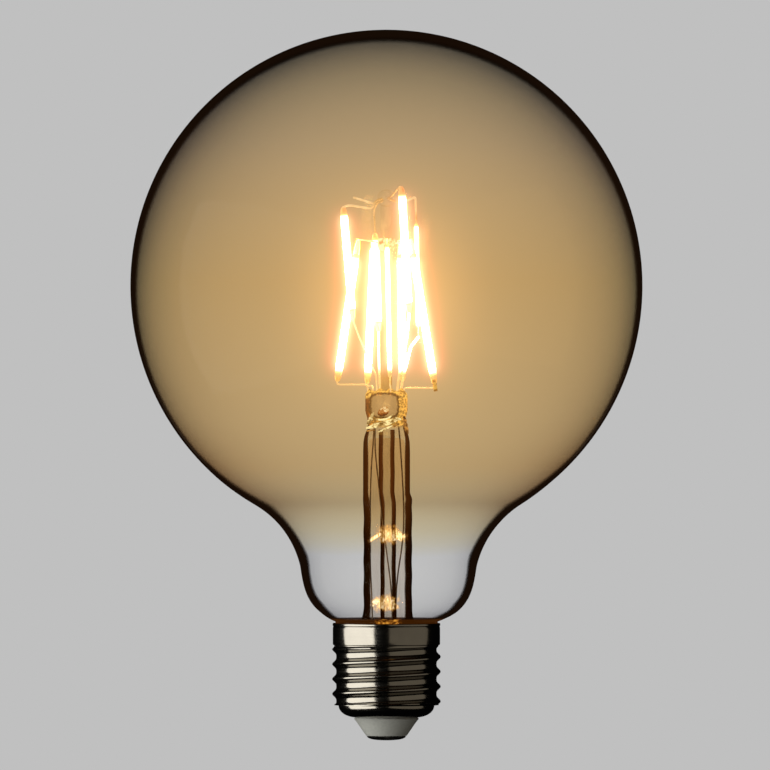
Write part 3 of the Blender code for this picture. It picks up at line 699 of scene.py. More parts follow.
def seal_glow(point, seal):
    """Amber light caught where the glass meets the cap, brightest in front of the stem."""
    sparks = fade(noise(point, 900, detail=4, roughness=0.7), 0.4, 0.65)
    middle = near(split(point)[0], 0.0004, 0.0018, 0.0036) * sparks
    hue = mix_colour(middle, (1, 0.28, 0.025), (1, 0.45, 0.06))
    return emit(hue, seal * (middle * 0.65 + 0.038))


def tube_glass(point, dark_facing, slimmer, band, glow_strength):
    """A clear tube's outer skin: see-through in the middle, with a brown band down each side where it is seen
    edge on, much of it a painted orange glow of the filaments.

    slimmer narrows the bands above the place where the tube was reheated.
    """
    height = split(point)[2]
    facing = turned_away(point)
    wave = (noise(stretched(point, 1, 1, 0.12), 700) - 0.5) * 0.025
    upper = fade(height, REHEATED_Z - 0.0015, REHEATED_Z + 0.0015)
    shifted = facing + wave - upper * slimmer
    middle = (0.955, 0.94, 0.905)
    through = ramp(
        shifted,
        (0, middle),
        (dark_facing - 0.04, middle),
        (dark_facing + 0.03, band),
        (0.8, (0.03, 0.025, 0.02)),
        (1, (0.03, 0.02, 0.02)),
    )
    # Painted light: an orange glow of the filaments in the side bands, weaker low down
    greys = ((0, 0), (dark_facing - 0.04, 0), (dark_facing + 0.04, 1), (0.75, 0.55), (1, 0.35))
    glow_mask = ramp(shifted, *[(share, (grey,) * 3) for share, grey in greys])
    hue = mix_colour(1, glow_mask, (1, 0.27, 0.015), "MULTIPLY")
    amount = (fade(height, 0.045, 0.06) * 0.8 + 0.2) * glow_strength
    return glossed(clear(through) + emit(hue, amount), facing**3 * 0.05, 0.05)


def caught_light(point):
    """Where the stem catches the filaments: two streaks with gold between them, and a patch lower down."""
    wobble = noise(stretched(point, 1, 0.2, 1), 700, roughness=0.6) - 0.5
    x, _, z = split(point)
    x = x + wobble * 0.005
    z = z + wobble * 0.0034
    broken = noise(stretched(point, 1, 0.2, 0.3), 2400, detail=4, roughness=0.65)
    levels = dict.fromkeys(GLINTS, z)
    levels["left"] = z - x * LEFT_GLINT_SLOPE
    lit = {name: near(x, *across) * near(levels[name], *along) for name, (across, along) in GLINTS.items()}
    streaks = larger(larger(lit["left"], lit["right"]), lit["spark"]) * fade(broken, 0.34, 0.56)
    return larger(streaks, larger(lit["gold"], lit["foot"]) * fade(broken, 0.25, 0.8))


def inner_glass(point):
    """The inner skin of a tube: almost nothing, with a slight grey draw line."""
    return clear(draw_lines(point))


def draw_lines(point):
    drawn = noise(stretched(point, 1, 1, 0.1), 900)
    return ramp(drawn, (0.35, (0.95, 0.95, 0.94)), (0.6, (0.995, 0.995, 0.99)))


def glinting_glass(point):
    """The inner skin of the stem, which also catches light."""
    light = caught_light(point)
    colour = mix_colour(1, draw_lines(point), by_height(split(point)[2], STEM_TINTS), "MULTIPLY")
    colour = mix_colour(calc("MULTIPLY", light, 1.2, clamp=True), colour, (0.8, 0.62, 0.36))
    hue = ramp(light, (0, (1, 0.36, 0.05)), (0.35, (1, 0.55, 0.13)), (0.9, (1, 0.88, 0.62)))
    return clear(colour) + emit(hue, light * 1.15)


def faint_glass(point, edge, glow_strength, golden_below=None):
    """A thin clear rod or bead that only shows at its edges, with a faint warm light in its flaws."""
    flaws = noise(stretched(point, 1, 1, 0.5), 500, detail=4)
    facing = turned_away(point) + (flaws - 0.5) * 0.3
    colour = ramp(facing, (0.45, (0.98, 0.97, 0.95)), (0.75, edge))
    if golden_below:
        colour = mix_colour(fade(split(point)[2], *golden_below), (0.88, 0.78, 0.55), colour)
    return clear(colour) + emit((1, 0.72, 0.38), fade(flaws, 0.42, 0.66) * glow_strength)


def press_glass(point):
    """The press's front: a clear window with a dark wavy outline of painted shade, and painted amber light
    all round it.
    """
    x, _, z = split(point)
    shift = (noise(point, 1100, detail=4, roughness=0.6) - 0.5) * 0.28
    centre_x, centre_z, half_x, half_z = PRESS_WINDOW
    powers = [calc("ABSOLUTE", calc("DIVIDE", part - middle, half)) ** 4
              for part, middle, half in ((x, centre_x, half_x), (z, centre_z, half_z))]
    away = ((powers[0] + powers[1]) ** 0.25 + shift) * 0.5
    above_foot = fade(z, PRESS_FOOT_Z - 0.0006, PRESS_FOOT_Z + 0.0006)
    # The dark band round the window is painted shade of the thick glass
    through = ramp(
        away,
        (0.1, (0.86, 0.75, 0.6)),
        (0.45, (0.78, 0.66, 0.48)),
        (0.495, (0.3, 0.2, 0.09)),
        (0.53, (0.2, 0.12, 0.035)),
        (0.57, (0.22, 0.14, 0.05)),
        (0.8, (0.18, 0.11, 0.04)),
    )
    through = mix_colour(above_foot, (0.96, 0.95, 0.93), through)
    hue = ramp(
        fade(x, -PRESS_HALF_WIDTH, PRESS_HALF_WIDTH, smooth=False),
        (0.00, (0.09, 0.02, 0.002)),
        (0.08, (0.14, 0.03, 0.003)),
        (0.11, (0.66, 0.27, 0.05)),
        (0.16, (0.66, 0.36, 0.09)),
        (0.5, (0.8, 0.51, 0.12)),
        (0.84, (0.98, 0.6, 0.14)),
        (0.97, (0.9, 0.52, 0.12)),
    )
    hue = mix_colour(fade(z, PRESS_TOP_Z - 0.0016, PRESS_TOP_Z - 0.0009), hue, (0.92, 0.6, 0.15))
    # Painted light: amber glow round the window, and faint patches of it inside
    patchy = fade(noise(point, 1500, detail=4), 0.36, 0.62) * 0.78 + 0.22
    outside = fade(away, 0.53, 0.58) * patchy * above_foot
    inside = fade(noise(point, 700), 0.54, 0.72) * 0.16
    return clear(through) + emit(hue, larger(outside, inside))


def fold_glass(point, cool, warm, strength):
    """A ridge of glass that shines in uneven streaks and fades out at its sides."""
    mask = fade(noise(point, 850, detail=4, roughness=0.6), 0.36, 0.58)
    glow = emit(mix_colour(mask, cool, warm), (mask * 0.8 + 0.2) * strength)
    return cover(fade(turned_away(point), 0.85, 0.35) * 0.92, glow)


def drop_glass(point):
    """The drop of glass that seals the press, painted all in glow: dark red-brown below, with a painted cream
    highlight on top.
    """
    level = split(point)[2] + (noise(point, 1500) - 0.5) * 0.004
    low, high = PRESS_DROP[2] - PRESS_DROP_SIZE[2], PRESS_DROP[2] + PRESS_DROP_SIZE[2]
    # Painted light: the drop is all emission, red-brown below and a cream highlight near its top
    hue = ramp(
        fade(level, low, high, smooth=False),
        (0.15, (0.1, 0.03, 0.004)),
        (0.42, (0.36, 0.12, 0.018)),
        (0.62, (0.55, 0.28, 0.09)),
        (0.78, (1, 0.95, 0.7)),
        (0.95, (0.6, 0.34, 0.12)),
    )
    return cover(fade(turned_away(point), 0.75, 0.25), emit(hue, 1))


def globe_side(offset):
    """One side of the globe's wall, from the pole down to the seal, moved inwards by offset."""
    radius = GLOBE_RADIUS - offset
    bend = SHOULDER_BEND + offset
    bend_centre_r = NECK_RADIUS + SHOULDER_BEND
    drop = math.sqrt((radius + bend) ** 2 - bend_centre_r**2)
    bend_centre = (bend_centre_r, GLOBE_CENTRE_Z - drop)
    touch = math.atan2(-drop, bend_centre_r)
    ball = arc((0, GLOBE_CENTRE_Z), radius, math.pi / 2, touch, BALL_STEPS)
    ball[0] = (0, GLOBE_TOP_Z - offset)
    bend_end = math.pi + math.asin((bend_centre[1] - BULGE_TOP_Z) / bend)
    shoulder = arc(bend_centre, bend, touch + math.pi, bend_end, SHOULDER_STEPS)
    upper_pull, lower_pull = BULGE_PULLS
    bulge = bezier(
        shoulder[-1],
        (upper_pull[0] - offset, upper_pull[1]),
        (lower_pull[0] - offset, lower_pull[1] + offset / 2),
        (SEAL_RADIUS - offset, SEAL_TOP_Z + offset / 3),
        BULGE_STEPS,
    )
    return ball + shoulder[1:] + bulge[1:] + [(SEAL_RADIUS - offset, GLOBE_LOW.z)]


def leaned(point):
    """The neck of the blown globe stands slightly to one side, and its ball and its seal do not."""
    x, y, z = point
    return (x + NECK_LEAN * blend(*LEAN_TOP, z) * blend(*LEAN_FOOT, z), y, z)


def make_globe():
    outside = globe_side(0)
    profile = outside + globe_side(GLOBE_WALL)[::-1]
    rings = [[leaned(point) for point in ring(r, z, GLOBE_SIDES)] for r, z in profile]
    walls = [material(f"globe_{side}_wall", globe_glass, side == "inner") for side in ("outer", "inner")]
    finish(skin("globe_glass", rings, inner_from=len(outside)), "amber_glass", walls, "glass_globe")


def flare_side(offset):
    """One side of the stem's flare, from the tube down to its rim, moved inwards by offset."""
    radius = STEM_RADIUS - offset
    pulls = [(radius + wider, z - offset) for wider, z in FLARE_PULLS]
    return bezier((radius, FLARE_TOP_Z), *pulls, (FLARE_RADIUS, FLARE_BOTTOM_Z - offset), 16)


def drawn_tube(point):
    """The slight unevenness of a hand-drawn tube: slimmer above, with a soft kink where it was reheated."""
    x, y, z = point
    upper = blend(*REHEATED_STEM, z)
    kink = math.exp(-(((z - KINK_Z) / KINK_REACH) ** 2))
    scale = 1 - STEM_SLIMMING * upper + KINK_BULGE * kink
    shift = STEM_SHIFT[0] - STEM_SHIFT[1] * upper - STEM_WAVE[0] * math.sin(z * STEM_WAVE[1]) * (1 - upper)
    return (x * scale + shift, y * scale, z)


def bent_exhaust(point):
    """The exhaust tube's own slight bend."""
    x, y, z = point
    upper = blend(*REHEATED_EXHAUST, z)
    scale = 1 + EXHAUST_WIDENING * upper
    shift = EXHAUST_SHIFT[0] - EXHAUST_SHIFT[1] * upper + EXHAUST_WAVE[0] * math.sin(z * EXHAUST_WAVE[1])
    return (x * scale + shift, y * scale, z)


def make_stem_tube():
    """The tube from its squeezed shoulder down to the flare's rim, and back up its inside."""
    heights = spread(STEM_SHOULDER_Z, FLARE_TOP_Z, TUBE_STEPS)[1:-1]
    bore = STEM_RADIUS - STEM_WALL
    outside = [(STEM_RADIUS, z) for z in heights] + flare_side(0)
    inside = flare_side(STEM_WALL)[::-1] + [(bore, z) for z in heights[::-1]]
    rings = [*SQUEEZED_END] + [(r, r, 2, z) for r, z in outside]
    inner_from = len(rings)
    rings += [(r, r, 2, z) for r, z in inside]
    rings += [(bore * width, bore * depth, squareness, z) for width, depth, squareness, z in BORE_END]
    shaped = [[drawn_tube(point) for point in oblong(*spec)] for spec in rings]
    outer = material("stem_outer_glass", tube_glass, 0.31, 0.08, (0.06, 0.034, 0.016), 0.048)
    inner = material("glinting_inner_glass", glinting_glass)
    finish(skin("stem_glass", shaped, inner_from=inner_from), "clear_glass", [outer, inner], "stem_tube")


def press_top(x, y, z):
    """The press's top, which rises in a small bump round each wire."""
    across, deep = BUMP_REACH
    rise = sum(math.exp(-(((x - bump) / across) ** 2)) for bump in PRESS_BUMPS)
    return (x, y, z + BUMP_HEIGHT * rise * math.exp(-((y / deep) ** 2)))


def make_press():
    """The flat press: a solid block of glass with a rounded, bumpy top."""
    rings = []
    sides, corner, top = PRESS_RINGS
    for share in spread(0, 1, sides):
        z = PRESS_BOTTOM_Z + (PRESS_CORNER_Z - PRESS_BOTTOM_Z) * share
        width = PRESS_HALF_WIDTH * (1 - PRESS_WAIST * blend(*PRESS_WAIST_ZONE, z))
        depth = PRESS_HALF_DEPTH * (PRESS_FOOT_DEPTH * (1 - share) + share)
        squareness = PRESS_FOOT_SQUARENESS * (1 - share) + PRESS_SQUARENESS * share
        rings.append(oblong(width, depth, squareness, z))
    for angle in spread(0, math.pi / 2, corner)[1:]:
        shrink = PRESS_CORNER * (1 - math.cos(angle))
        z = PRESS_CORNER_Z + PRESS_CORNER * math.sin(angle)
        rings.append(oblong(PRESS_HALF_WIDTH - shrink, PRESS_HALF_DEPTH - shrink, PRESS_SQUARENESS, z))
    flat = (PRESS_HALF_WIDTH - PRESS_CORNER, PRESS_HALF_DEPTH - PRESS_CORNER)
    for share in spread(1, 0, top)[1:-1]:
        rings.append(oblong(flat[0] * share, flat[1] * share, PRESS_SQUARENESS, z))
    shaped = []
    for number, points in enumerate(rings):
        lift = blend(*BUMPY_RINGS, number)
        shaped.append([tuple(Vector(p).lerp(Vector(press_top(*p)), lift)) for p in points])
    piece = skin("press_block", shaped)
    for face in piece.data.polygons:
        face.material_index = int(face.center.y > 0)
    back = material("press_back_glass", faint_glass, (0.7, 0.58, 0.42), 0.1)
    finish(piece, "clear_glass", [material("press_window_glass", press_glass), back])


def make_press_folds():
    """Ridges of glass across the foot of the press, where the tube was squeezed shut, front and back."""
    cream = material("press_fold_glass", fold_glass, (0.82, 0.5, 0.13), (1, 0.98, 0.64), 1.12)
    amber = material("press_edge_glass", fold_glass, (0.3, 0.1, 0.015), (0.85, 0.45, 0.12), 0.7)
    folds = [(*fold, cream) for fold in CREAM_FOLDS] + [(*fold, amber) for fold in AMBER_FOLDS]
    for number, (route, radius, glass) in enumerate(folds, start=1):
        for label, way in (("front", -1), ("back", 1)):
            path = soften([(x, way * depth, z) for x, depth, z in route], 0.0012, 4)
            thickness = uneven([radius * share for share in FOLD_SHAPE])
            finish(sweep(f"press_fold_{number}_{label}", path, thickness, sides=16), "clear_glass", [glass])


def make_press_drop():
    """The small sealed drop in the middle of the press, wider below and leaning a little."""
    rings = []
    for angle in spread(0, math.pi, 24):
        lean = 0.0004 * math.cos(angle)
        wide = PRESS_DROP_SIZE[0] * math.sin(angle) * (1 - 0.2 * math.cos(angle))
        level = PRESS_DROP[2] + PRESS_DROP_SIZE[2] * math.cos(angle)
        loop = oblong(wide, PRESS_DROP_SIZE[1] * math.sin(angle), 2, level, 32)
        rings.append([(x + PRESS_DROP[0] + lean, y + PRESS_DROP[1], z) for x, y, z in loop])
    finish(skin("press_drop", rings), "clear_glass", [material("press_drop_glass", drop_glass)])


def make_exhaust():
    """The thick exhaust tube, a little bent where the stem was reheated, with a sealed round tip."""
    wall = EXHAUST_RADIUS - EXHAUST_BORE
    tip_z = EXHAUST_BOTTOM_Z + EXHAUST_RADIUS
    heights = spread(EXHAUST_TOP_Z, tip_z, TUBE_STEPS)
    tip = arc((0, tip_z), EXHAUST_RADIUS, 0, -math.pi / 2, 10)[1:]
    outside = [(EXHAUST_RADIUS, z) for z in heights] + tip
    inside = [(EXHAUST_BORE, max(z, tip_z + 2 * wall)) for z in heights]
    profile = outside + [(0, tip_z + wall)] + inside[::-1]
    rings = [[bent_exhaust(p) for p in ring(r, z, 48)] for r, z in profile]
    outer = material("exhaust_outer_glass", tube_glass, 0.125, 0, (0.11, 0.065, 0.03), 0.07)
    glass = [outer, material("tube_inner_glass", inner_glass)]
    finish(skin("exhaust_glass", rings, inner_from=len(outside)), "clear_glass", glass, "exhaust_tube")


def make_post_and_beads():
    """The glass post, the round bead on its top, and the ring bead round it."""
    pale = material("post_glass", faint_glass, (0.965, 0.935, 0.87), 0.08, CLEAR_POST)
    lit = material("lit_bead_glass", fold_glass, (0.8, 0.62, 0.16), (1, 1, 0.72), 1)
    heights = spread(PRESS_TOP_Z, POST_TOP_Z, TUBE_STEPS)
    rod = [(POST_RADIUS * (1 + 0.03 * math.sin(z * 400)), z) for z in heights]
    finish(turn("post_rod", rod, 32), "clear_glass", [pale], "centre_post")
    bead = []
    for angle in spread(0, math.pi, 24):
        wide = TOP_BEAD_RADIUS * (1 + 0.05 * math.sin(3 * angle)) * math.sin(angle)
        bead.append((wide, TOP_BEAD_Z + TOP_BEAD_HALF_HEIGHT * math.cos(angle)))
    finish(turn("top_glass_bead", bead, 48), "clear_glass", [pale], "top_bead")
    inner = POST_RADIUS * 0.9
    half = (MIDDLE_BEAD_RADIUS - inner) / 2
    loop = arc((0, 0), 1, 0, FULL_TURN, 24)[:-1]
    profile = [(inner + half + r * half, MIDDLE_BEAD_Z + z * MIDDLE_BEAD_HALF_HEIGHT) for r, z in loop]
    finish(turn("middle_glass_bead", profile, 48, loop=True), "clear_glass", [lit], "middle_bead")


# Filaments and wires


def hot_phosphor(point, strength, foot_fade):
    """A phosphor strip that glows white hot, and orange at its very ends."""
    grain = noise(point, 2500)
    chips = noise(stretched(point, 0.2, 0.2, 1), 900)
    duller = tuple(c * share for c, share in zip(FILAMENT_GLOW, (1, 0.92, 0.85)))
    tone = ramp(grain, (0.3, duller), (0.7, FILAMENT_GLOW))
    along = split(add("TexCoord", {}, "Generated", point.tree))[2]
    lit = fade(along, 0, foot_fade) * fade(along, 1, 0.93)
    full = lit**4 * ((chips * 0.3 + 0.85) * strength)
    return solid((0.3, 0.2, 0.08), 0.6, glow=tone, strength=full + 0.8)


def tab_metal(point, colour, strength):
    """Thin sheet metal that catches the light of the strip beside it."""
    brushed = noise(stretched(point, 1, 1, 0.2), 3000)
    return solid((0.3, 0.25, 0.18), fade(brushed, -0.2, 1.6), 1, colour, (brushed + 0.5) * strength)


def wire_metal(point, colour, strength=0):
    """Nickel wire, dulled in patches, that may catch the light of the filaments."""
    patches = noise(point, 900)
    tone = ramp(patches, (0.3, tuple(c * 0.6 for c in colour)), (0.7, colour))
    amount = fade(patches, 0.25, 0.6) * strength
    return solid(tone, fade(patches, 1.4, -0.4), 1, (1, 0.88, 0.74), amount)


def lit_wire(point, strength):
    """A wire in front of the glow: as bright as strength beside the strips, and hardly visible below them."""
    patches = fade(noise(point, 900), 0.25, 0.65)
    beside = fade(split(point)[2], 0.0893, 0.0918)
    pale = mix_colour(patches, (0.86, 0.56, 0.27), (0.95, 0.66, 0.36))
    hue = mix_colour(beside, pale, (1, 0.84, 0.62))
    return solid((0.1, 0.08, 0.06), fade(patches, 1.6, -0.4), 1, hue, beside * (strength - 1) + 1)


def top_wire(point):
    """The thin wires at the top, coloured by painted light of the filaments: pale where they stand clear, and
    lost in the glow elsewhere.
    """
    patches = fade(noise(point, 900), 0.25, 0.65)
    x, _, z = split(point)
    # Painted light: the wires glow pale away from the middle and a dimmer orange over it
    seen = fade(calc("ABSOLUTE", x + 0.0002), 0.0022, 0.0044) * fade(z, 0.1275, 0.1295)
    pale = mix_colour(patches, (0.76, 0.57, 0.34), (0.9, 0.73, 0.49))
    hue = mix_colour(seen, (0.55, 0.385, 0.19), pale)
    return solid((0.06, 0.05, 0.04), fade(patches, 1.6, -0.4), 1, hue)


def gold_crimp(point):
    """Folded sheet that catches gold light in patches."""
    patches = fade(noise(point, 1300), 0.35, 0.6)
    hue = mix_colour(patches, (0.2, 0.1, 0.012), (0.62, 0.42, 0.1))
    return solid((0.16, 0.1, 0.04), fade(patches, 1.6, -0.4), 1, hue)


def strip_axes(node):
    """A strip's place and half length, from its solid: wide along X, thin along Y, long along Z."""
    points = np.array(sorted({tuple(np.round(v.co, 7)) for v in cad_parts[node].data.vertices}))
    centre = points.mean(axis=0)
    _, _, axes = np.linalg.svd(points - centre, full_matrices=False)
    along, wide = Vector(axes[0]), Vector(axes[1])
    if along.z < 0:
        along = -along
    half = float(np.abs((points - centre) @ np.array(along)).max())
    matrix = Matrix.Translation(centre) @ Matrix((wide, along.cross(wide), along)).transposed().to_4x4()
    return matrix, half


def make_strip(name, matrix, sections, slot, made, *nodes):
    """A flat piece along a strip's own axes. sections are (width, thickness, place along it)."""
    rings = [oblong(wide / 2, thick / 2, STRIP_SQUARENESS, z, STRIP_SIDES) for wide, thick, z in sections]
    piece = skin(name, rings)
    piece.matrix_world = matrix
    finish(piece, slot, [made], *nodes)


def make_filament(tier, number, materials):
    """The glowing strip, and a flat metal tab in each of its ends."""
    node = f"filament_{tier}_{number}"
    matrix, half = strip_axes(node)
    top_tab, foot_tab = TAB_LENGTHS[tier][number - 1]
    low, high = -half + foot_tab, half - top_tab
    sections = []
    for z in spread(low, high, STRIP_STEPS):
        end = max(1 - min(z - low, high - z) / STRIP_ROUNDING, 0)
        size = math.sqrt(1 - STRIP_TIP * end**2) * (1 + CHIP_SWELL * math.sin(FULL_TURN * z / CHIP_PITCH))
        sections.append((STRIP_WIDTH * size, STRIP_THICKNESS * size, z))
    make_strip(f"strip_{tier}_{number}", matrix, sections, "phosphor", materials["strip", tier], node)
    for label, way, length in (("top", 1, top_tab), ("foot", -1, foot_tab)):
        lit = half - length
        spans = (lit - TAB_OVERLAP, lit, lit + length * 0.5, lit + length * 0.8, half, half + TAB_TIP)
        sections = [(TAB_WIDTH * share, TAB_THICKNESS, way * z) for z, share in zip(spans, TAB_SHAPE)]
        make_strip(f"tab_{tier}_{number}_{label}", matrix, sections, "nickel_wire", materials[label, tier])
    return matrix @ Vector((0, 0, half)), matrix @ Vector((0, 0, -half))


def make_wire(name, route, made, node, radius=WIRE_RADIUS, bend=WIRE_BEND):
    finish(sweep(name, soften(route, bend), lambda share: radius), "nickel_wire", [made], node)


def make_tier(tier, top_node, foot_node, materials, top_metal, hot):
    """One tier: each filament, and the wires from its top to a bead and from its foot to the press."""
    routes = zip(WIRE_ROUTES[tier, top_node], WIRE_ROUTES[tier, foot_node])
    for number, (top_route, foot_route) in enumerate(routes, start=1):
        top, foot = make_filament(tier, number, materials)
        thick = THICK_WIRE_RADIUS if (tier, number) in THICK_ARMS else WIRE_RADIUS
        make_wire(f"wire_top_{tier}_{number}", (*top_route, top), top_metal, f"{top_node}_{number}", thick)
        elbow = [] if tier == "upper" else [(foot.x, foot.y, foot_route[-1][2])]
        thick = HOT_WIRE_RADIUS if number in hot else WIRE_RADIUS
        metal = hot.get(number, materials["pale"])
        route = (*foot_route, *elbow, foot)
        make_wire(f"wire_foot_{tier}_{number}", route, metal, f"{foot_node}_{number}", thick)


def make_light_source():
    """Both tiers of filaments with their wires, the free arm, and the leads inside the stem."""
    materials = {("strip", tier): material(f"lit_phosphor_{tier}", hot_phosphor, *glow)
                 for tier, glow in STRIP_GLOWS.items()}
    for (end, tier), glow in TAB_GLOWS.items():
        materials[end, tier] = material(f"tab_{tier}_{end}", tab_metal, *glow)
    # Painted light: the lower tier's support wires also glow faintly with the filaments' light
    bright = material("lit_nickel_wire", wire_metal, (0.6, 0.52, 0.42), 0.45)
    materials["pale"] = material("pale_wire", lit_wire, 1)
    faint = material("top_support_wire", top_wire)
    dark = material("dark_lead_wire", wire_metal, (0.2, 0.14, 0.09))
    hot = {number: material(f"hot_wire_{number}", lit_wire, glow) for number, glow in HOT_RETURNS.items()}
    make_tier("upper", "top_support_wire", "return_wire", materials, faint, hot)
    make_tier("lower", "middle_support_wire", "press_wire", materials, bright, {})
    make_wire("wire_free_arm", FREE_ARM_ROUTE, faint, "top_support_wire_5", THICK_WIRE_RADIUS)
    for number, route in enumerate(LEAD_ROUTES, start=1):
        make_wire(f"stem_lead_{number}", route, dark, f"lead_wire_{number}", LEAD_RADIUS, LEAD_BEND)


def make_crimp():
    """The folded clamp that holds the right-hand lower filament's foot."""
    matrix, half = strip_axes("filament_lower_5")
    wide, thick, tall = CRIMP_SIZE
    sections = []
    for angle in spread(0, math.pi, 12):
        width = wide * (CRIMP_END + (1 - CRIMP_END) * math.sqrt(abs(math.sin(angle))))
        sections.append((width, thick, -half - CRIMP_DROP + tall * (1 - math.cos(angle)) / 2))
    make_strip("filament_crimp", matrix, sections, "nickel_wire", material("gold_crimp_metal", gold_crimp))


# Cap


def black_nickel(point):
    """A dark mirror with fine rolling lines and slight smears."""
    lines = noise(stretched(point, 0.15, 0.15, 4), 900)
    smears = noise(point, 180, detail=5)
    tone = ramp(smears, (0.35, (0.287, 0.274, 0.243)), (0.65, (0.317, 0.303, 0.268)))
    return solid(tone, fade(lines, -0.55, 6.5, smooth=False), 1, bump=(lines, 0.007))


def ceramic(point):
    """Pale grey glazed insulator with a fine speckle."""
    speckle = noise(point, 1500, detail=6)
    tone = ramp(speckle, (0.3, (0.35, 0.365, 0.345)), (0.7, (0.41, 0.425, 0.4)))
    return solid(tone, fade(noise(point, 200), -0.6, 2.2))


def contact_alloy(point):
    """Dull dark metal, worn in patches."""
    worn = noise(point, 700, detail=5)
    tone = ramp(worn, (0.3, (0.22, 0.21, 0.2)), (0.7, (0.34, 0.33, 0.31)))
    return solid(tone, fade(worn, -0.3, 2), 1)


def shell_side(offset):
    """One side of the cap's sheet metal, top to bottom."""
    middle = (THREAD_CREST_RADIUS + THREAD_ROOT_RADIUS) / 2 - offset
    rows = round((THREAD_TOP_Z - THREAD_BOTTOM_Z) / THREAD_PITCH * ROWS_PER_PITCH)
    skirt = SKIRT_RADIUS - offset
    side = [(skirt + out, RIM_Z - down) for out, down in RIM_ROLL]
    side += [(skirt, THREAD_TOP_Z + 0.0003), (skirt - 0.0001, THREAD_TOP_Z + 0.0001)]
    side += [(middle, z) for z in spread(THREAD_TOP_Z, THREAD_BOTTOM_Z, rows)]
    ledge = (BOWL_LEDGE_RADIUS - offset, THREAD_BOTTOM_Z - FIT_GAP)
    pulls = [(r - offset, z) for r, z in BOWL_PULLS]
    foot = (BOWL_RADIUS - offset / 2, BOWL_BOTTOM_Z + offset)
    return side + bezier(ledge, *pulls, foot, 20)


def rolled(point):
    """Push a point of the shell out or in along the right-hand thread, which runs out at both ends."""
    x, y, z = point
    turns = math.atan2(y, x) / FULL_TURN
    depth = (THREAD_CREST_RADIUS - THREAD_ROOT_RADIUS) / 2
    ease = blend(0, THREAD_RUN_OUT_TOP, THREAD_TOP_Z - z)
    ease *= blend(0, THREAD_RUN_OUT_BOTTOM, z - THREAD_BOTTOM_Z)
    wave = (1 + math.cos(FULL_TURN * ((z - THREAD_START_Z) / THREAD_PITCH - turns))) / 2
    scale = 1 + ease * depth * (2 * wave**THREAD_SHARPNESS - 1) / math.hypot(x, y)
    return (x * scale, y * scale, z)


def make_shell():
    profile = shell_side(0) + shell_side(SHELL_WALL)[::-1]
    rings = [[rolled(point) for point in ring(r, z, SHELL_SIDES)] for r, z in profile]
    metal = material("black_nickel_shell", black_nickel)
    finish(skin("threaded_shell", rings, loop=True), "black_nickel", [metal], "screw_shell")


def make_insulator():
    """The cone under the shell, with a spigot up inside it and a hole for the rivet."""
    hole = CONTACT_RIVET_RADIUS + FIT_GAP
    spigot = INSULATOR_WIDE - 2 * SHELL_WALL
    seat = BOWL_BOTTOM_Z - FIT_GAP
    pulls = ((INSULATOR_WIDE - 0.0009, 0.0042), (INSULATOR_NARROW + 0.001, 0.0027))
    foot = (INSULATOR_NARROW, INSULATOR_BOTTOM_Z + 0.0002)
    profile = [(spigot, INSULATOR_TOP_Z), (spigot, seat), (INSULATOR_WIDE - 0.0002, seat)]
    profile += bezier((INSULATOR_WIDE, seat - 0.0003), *pulls, foot, 24)
    profile += [(INSULATOR_NARROW - 0.0002, INSULATOR_BOTTOM_Z), (hole, INSULATOR_BOTTOM_Z)]
    profile += [(hole, INSULATOR_TOP_Z)]
    glaze = material("glazed_insulator", ceramic)
    finish(turn("insulator_cone", profile, 96, loop=True), "insulator_ceramic", [glaze], "insulator")


def make_contact():
    """The button at the tip, a shallow dome with a flat face, and its rivet."""
    top = INSULATOR_BOTTOM_Z - FIT_GAP
    profile = [(0, CONTACT_RIVET_TOP_Z), (CONTACT_RIVET_RADIUS, CONTACT_RIVET_TOP_Z)]
    profile += [(CONTACT_RIVET_RADIUS, top), (CONTACT_RADIUS - 0.0001, top), (CONTACT_RADIUS, top - 0.0001)]
    pulls = ((CONTACT_RADIUS - 0.0004, top * 0.4), (CONTACT_FLAT_RADIUS, top * 0.1))
    profile += bezier((CONTACT_RADIUS, top * 0.9), *pulls, (CONTACT_RIVET_RADIUS, 0), 16) + [(0, 0)]
    alloy = material("contact_alloy", contact_alloy)
    finish(turn("contact_button", profile, 96), "contact_metal", [alloy], "centre_contact")


# Hidden parts keep their solids and get a finish of their own


def mottled(point, dark, light, scale, smoothness, metallic):
    """A mottled finish for a small part inside the cap."""
    mottle = noise(point, scale, detail=5)
    tone = ramp(mottle, (0.35, dark), (0.65, light))
    return solid(tone, fade(mottle, -smoothness, 2), metallic, bump=(mottle, 0.2))


# Each finish: its dark and light tone, the scale of its mottle, how smooth it is, whether it is metal, and
# the parts that wear it
HIDDEN_FINISHES = {
    "green_laminate": ((0.01, 0.1, 0.035), (0.02, 0.17, 0.06), 1800, 0.6, 0,
                       ("driver_board", "radio_module_board")),
    "black_moulding": ((0.012, 0.012, 0.012), (0.03, 0.03, 0.03), 2500, 0.9, 0,
                       ("driver_chip", "bridge_rectifier", "radio_chip")),
    "blue_lacquer": ((0.06, 0.11, 0.22), (0.11, 0.18, 0.33), 1500, 0.7, 0, ("fuse_resistor",)),
    "dark_sleeve": ((0.02, 0.02, 0.035), (0.04, 0.04, 0.06), 900, 0.4, 0, ("bulk_capacitor",)),
    "copper_winding": ((0.45, 0.17, 0.07), (0.78, 0.36, 0.17), 1400, 0.4, 1,
                       ("inductor", "radio_antenna", "shell_wire", "contact_wire")),
    "tinned_sheet": ((0.45, 0.45, 0.45), (0.65, 0.65, 0.64), 900, 0.3, 1, ("radio_shield",)),
    "white_plastic": ((0.72, 0.72, 0.67), (0.82, 0.82, 0.78), 500, 0.6, 0, ("board_sleeve",)),
    "brown_cement": ((0.25, 0.17, 0.09), (0.46, 0.35, 0.21), 1600, 1.4, 0, ("cap_cement",)),
}


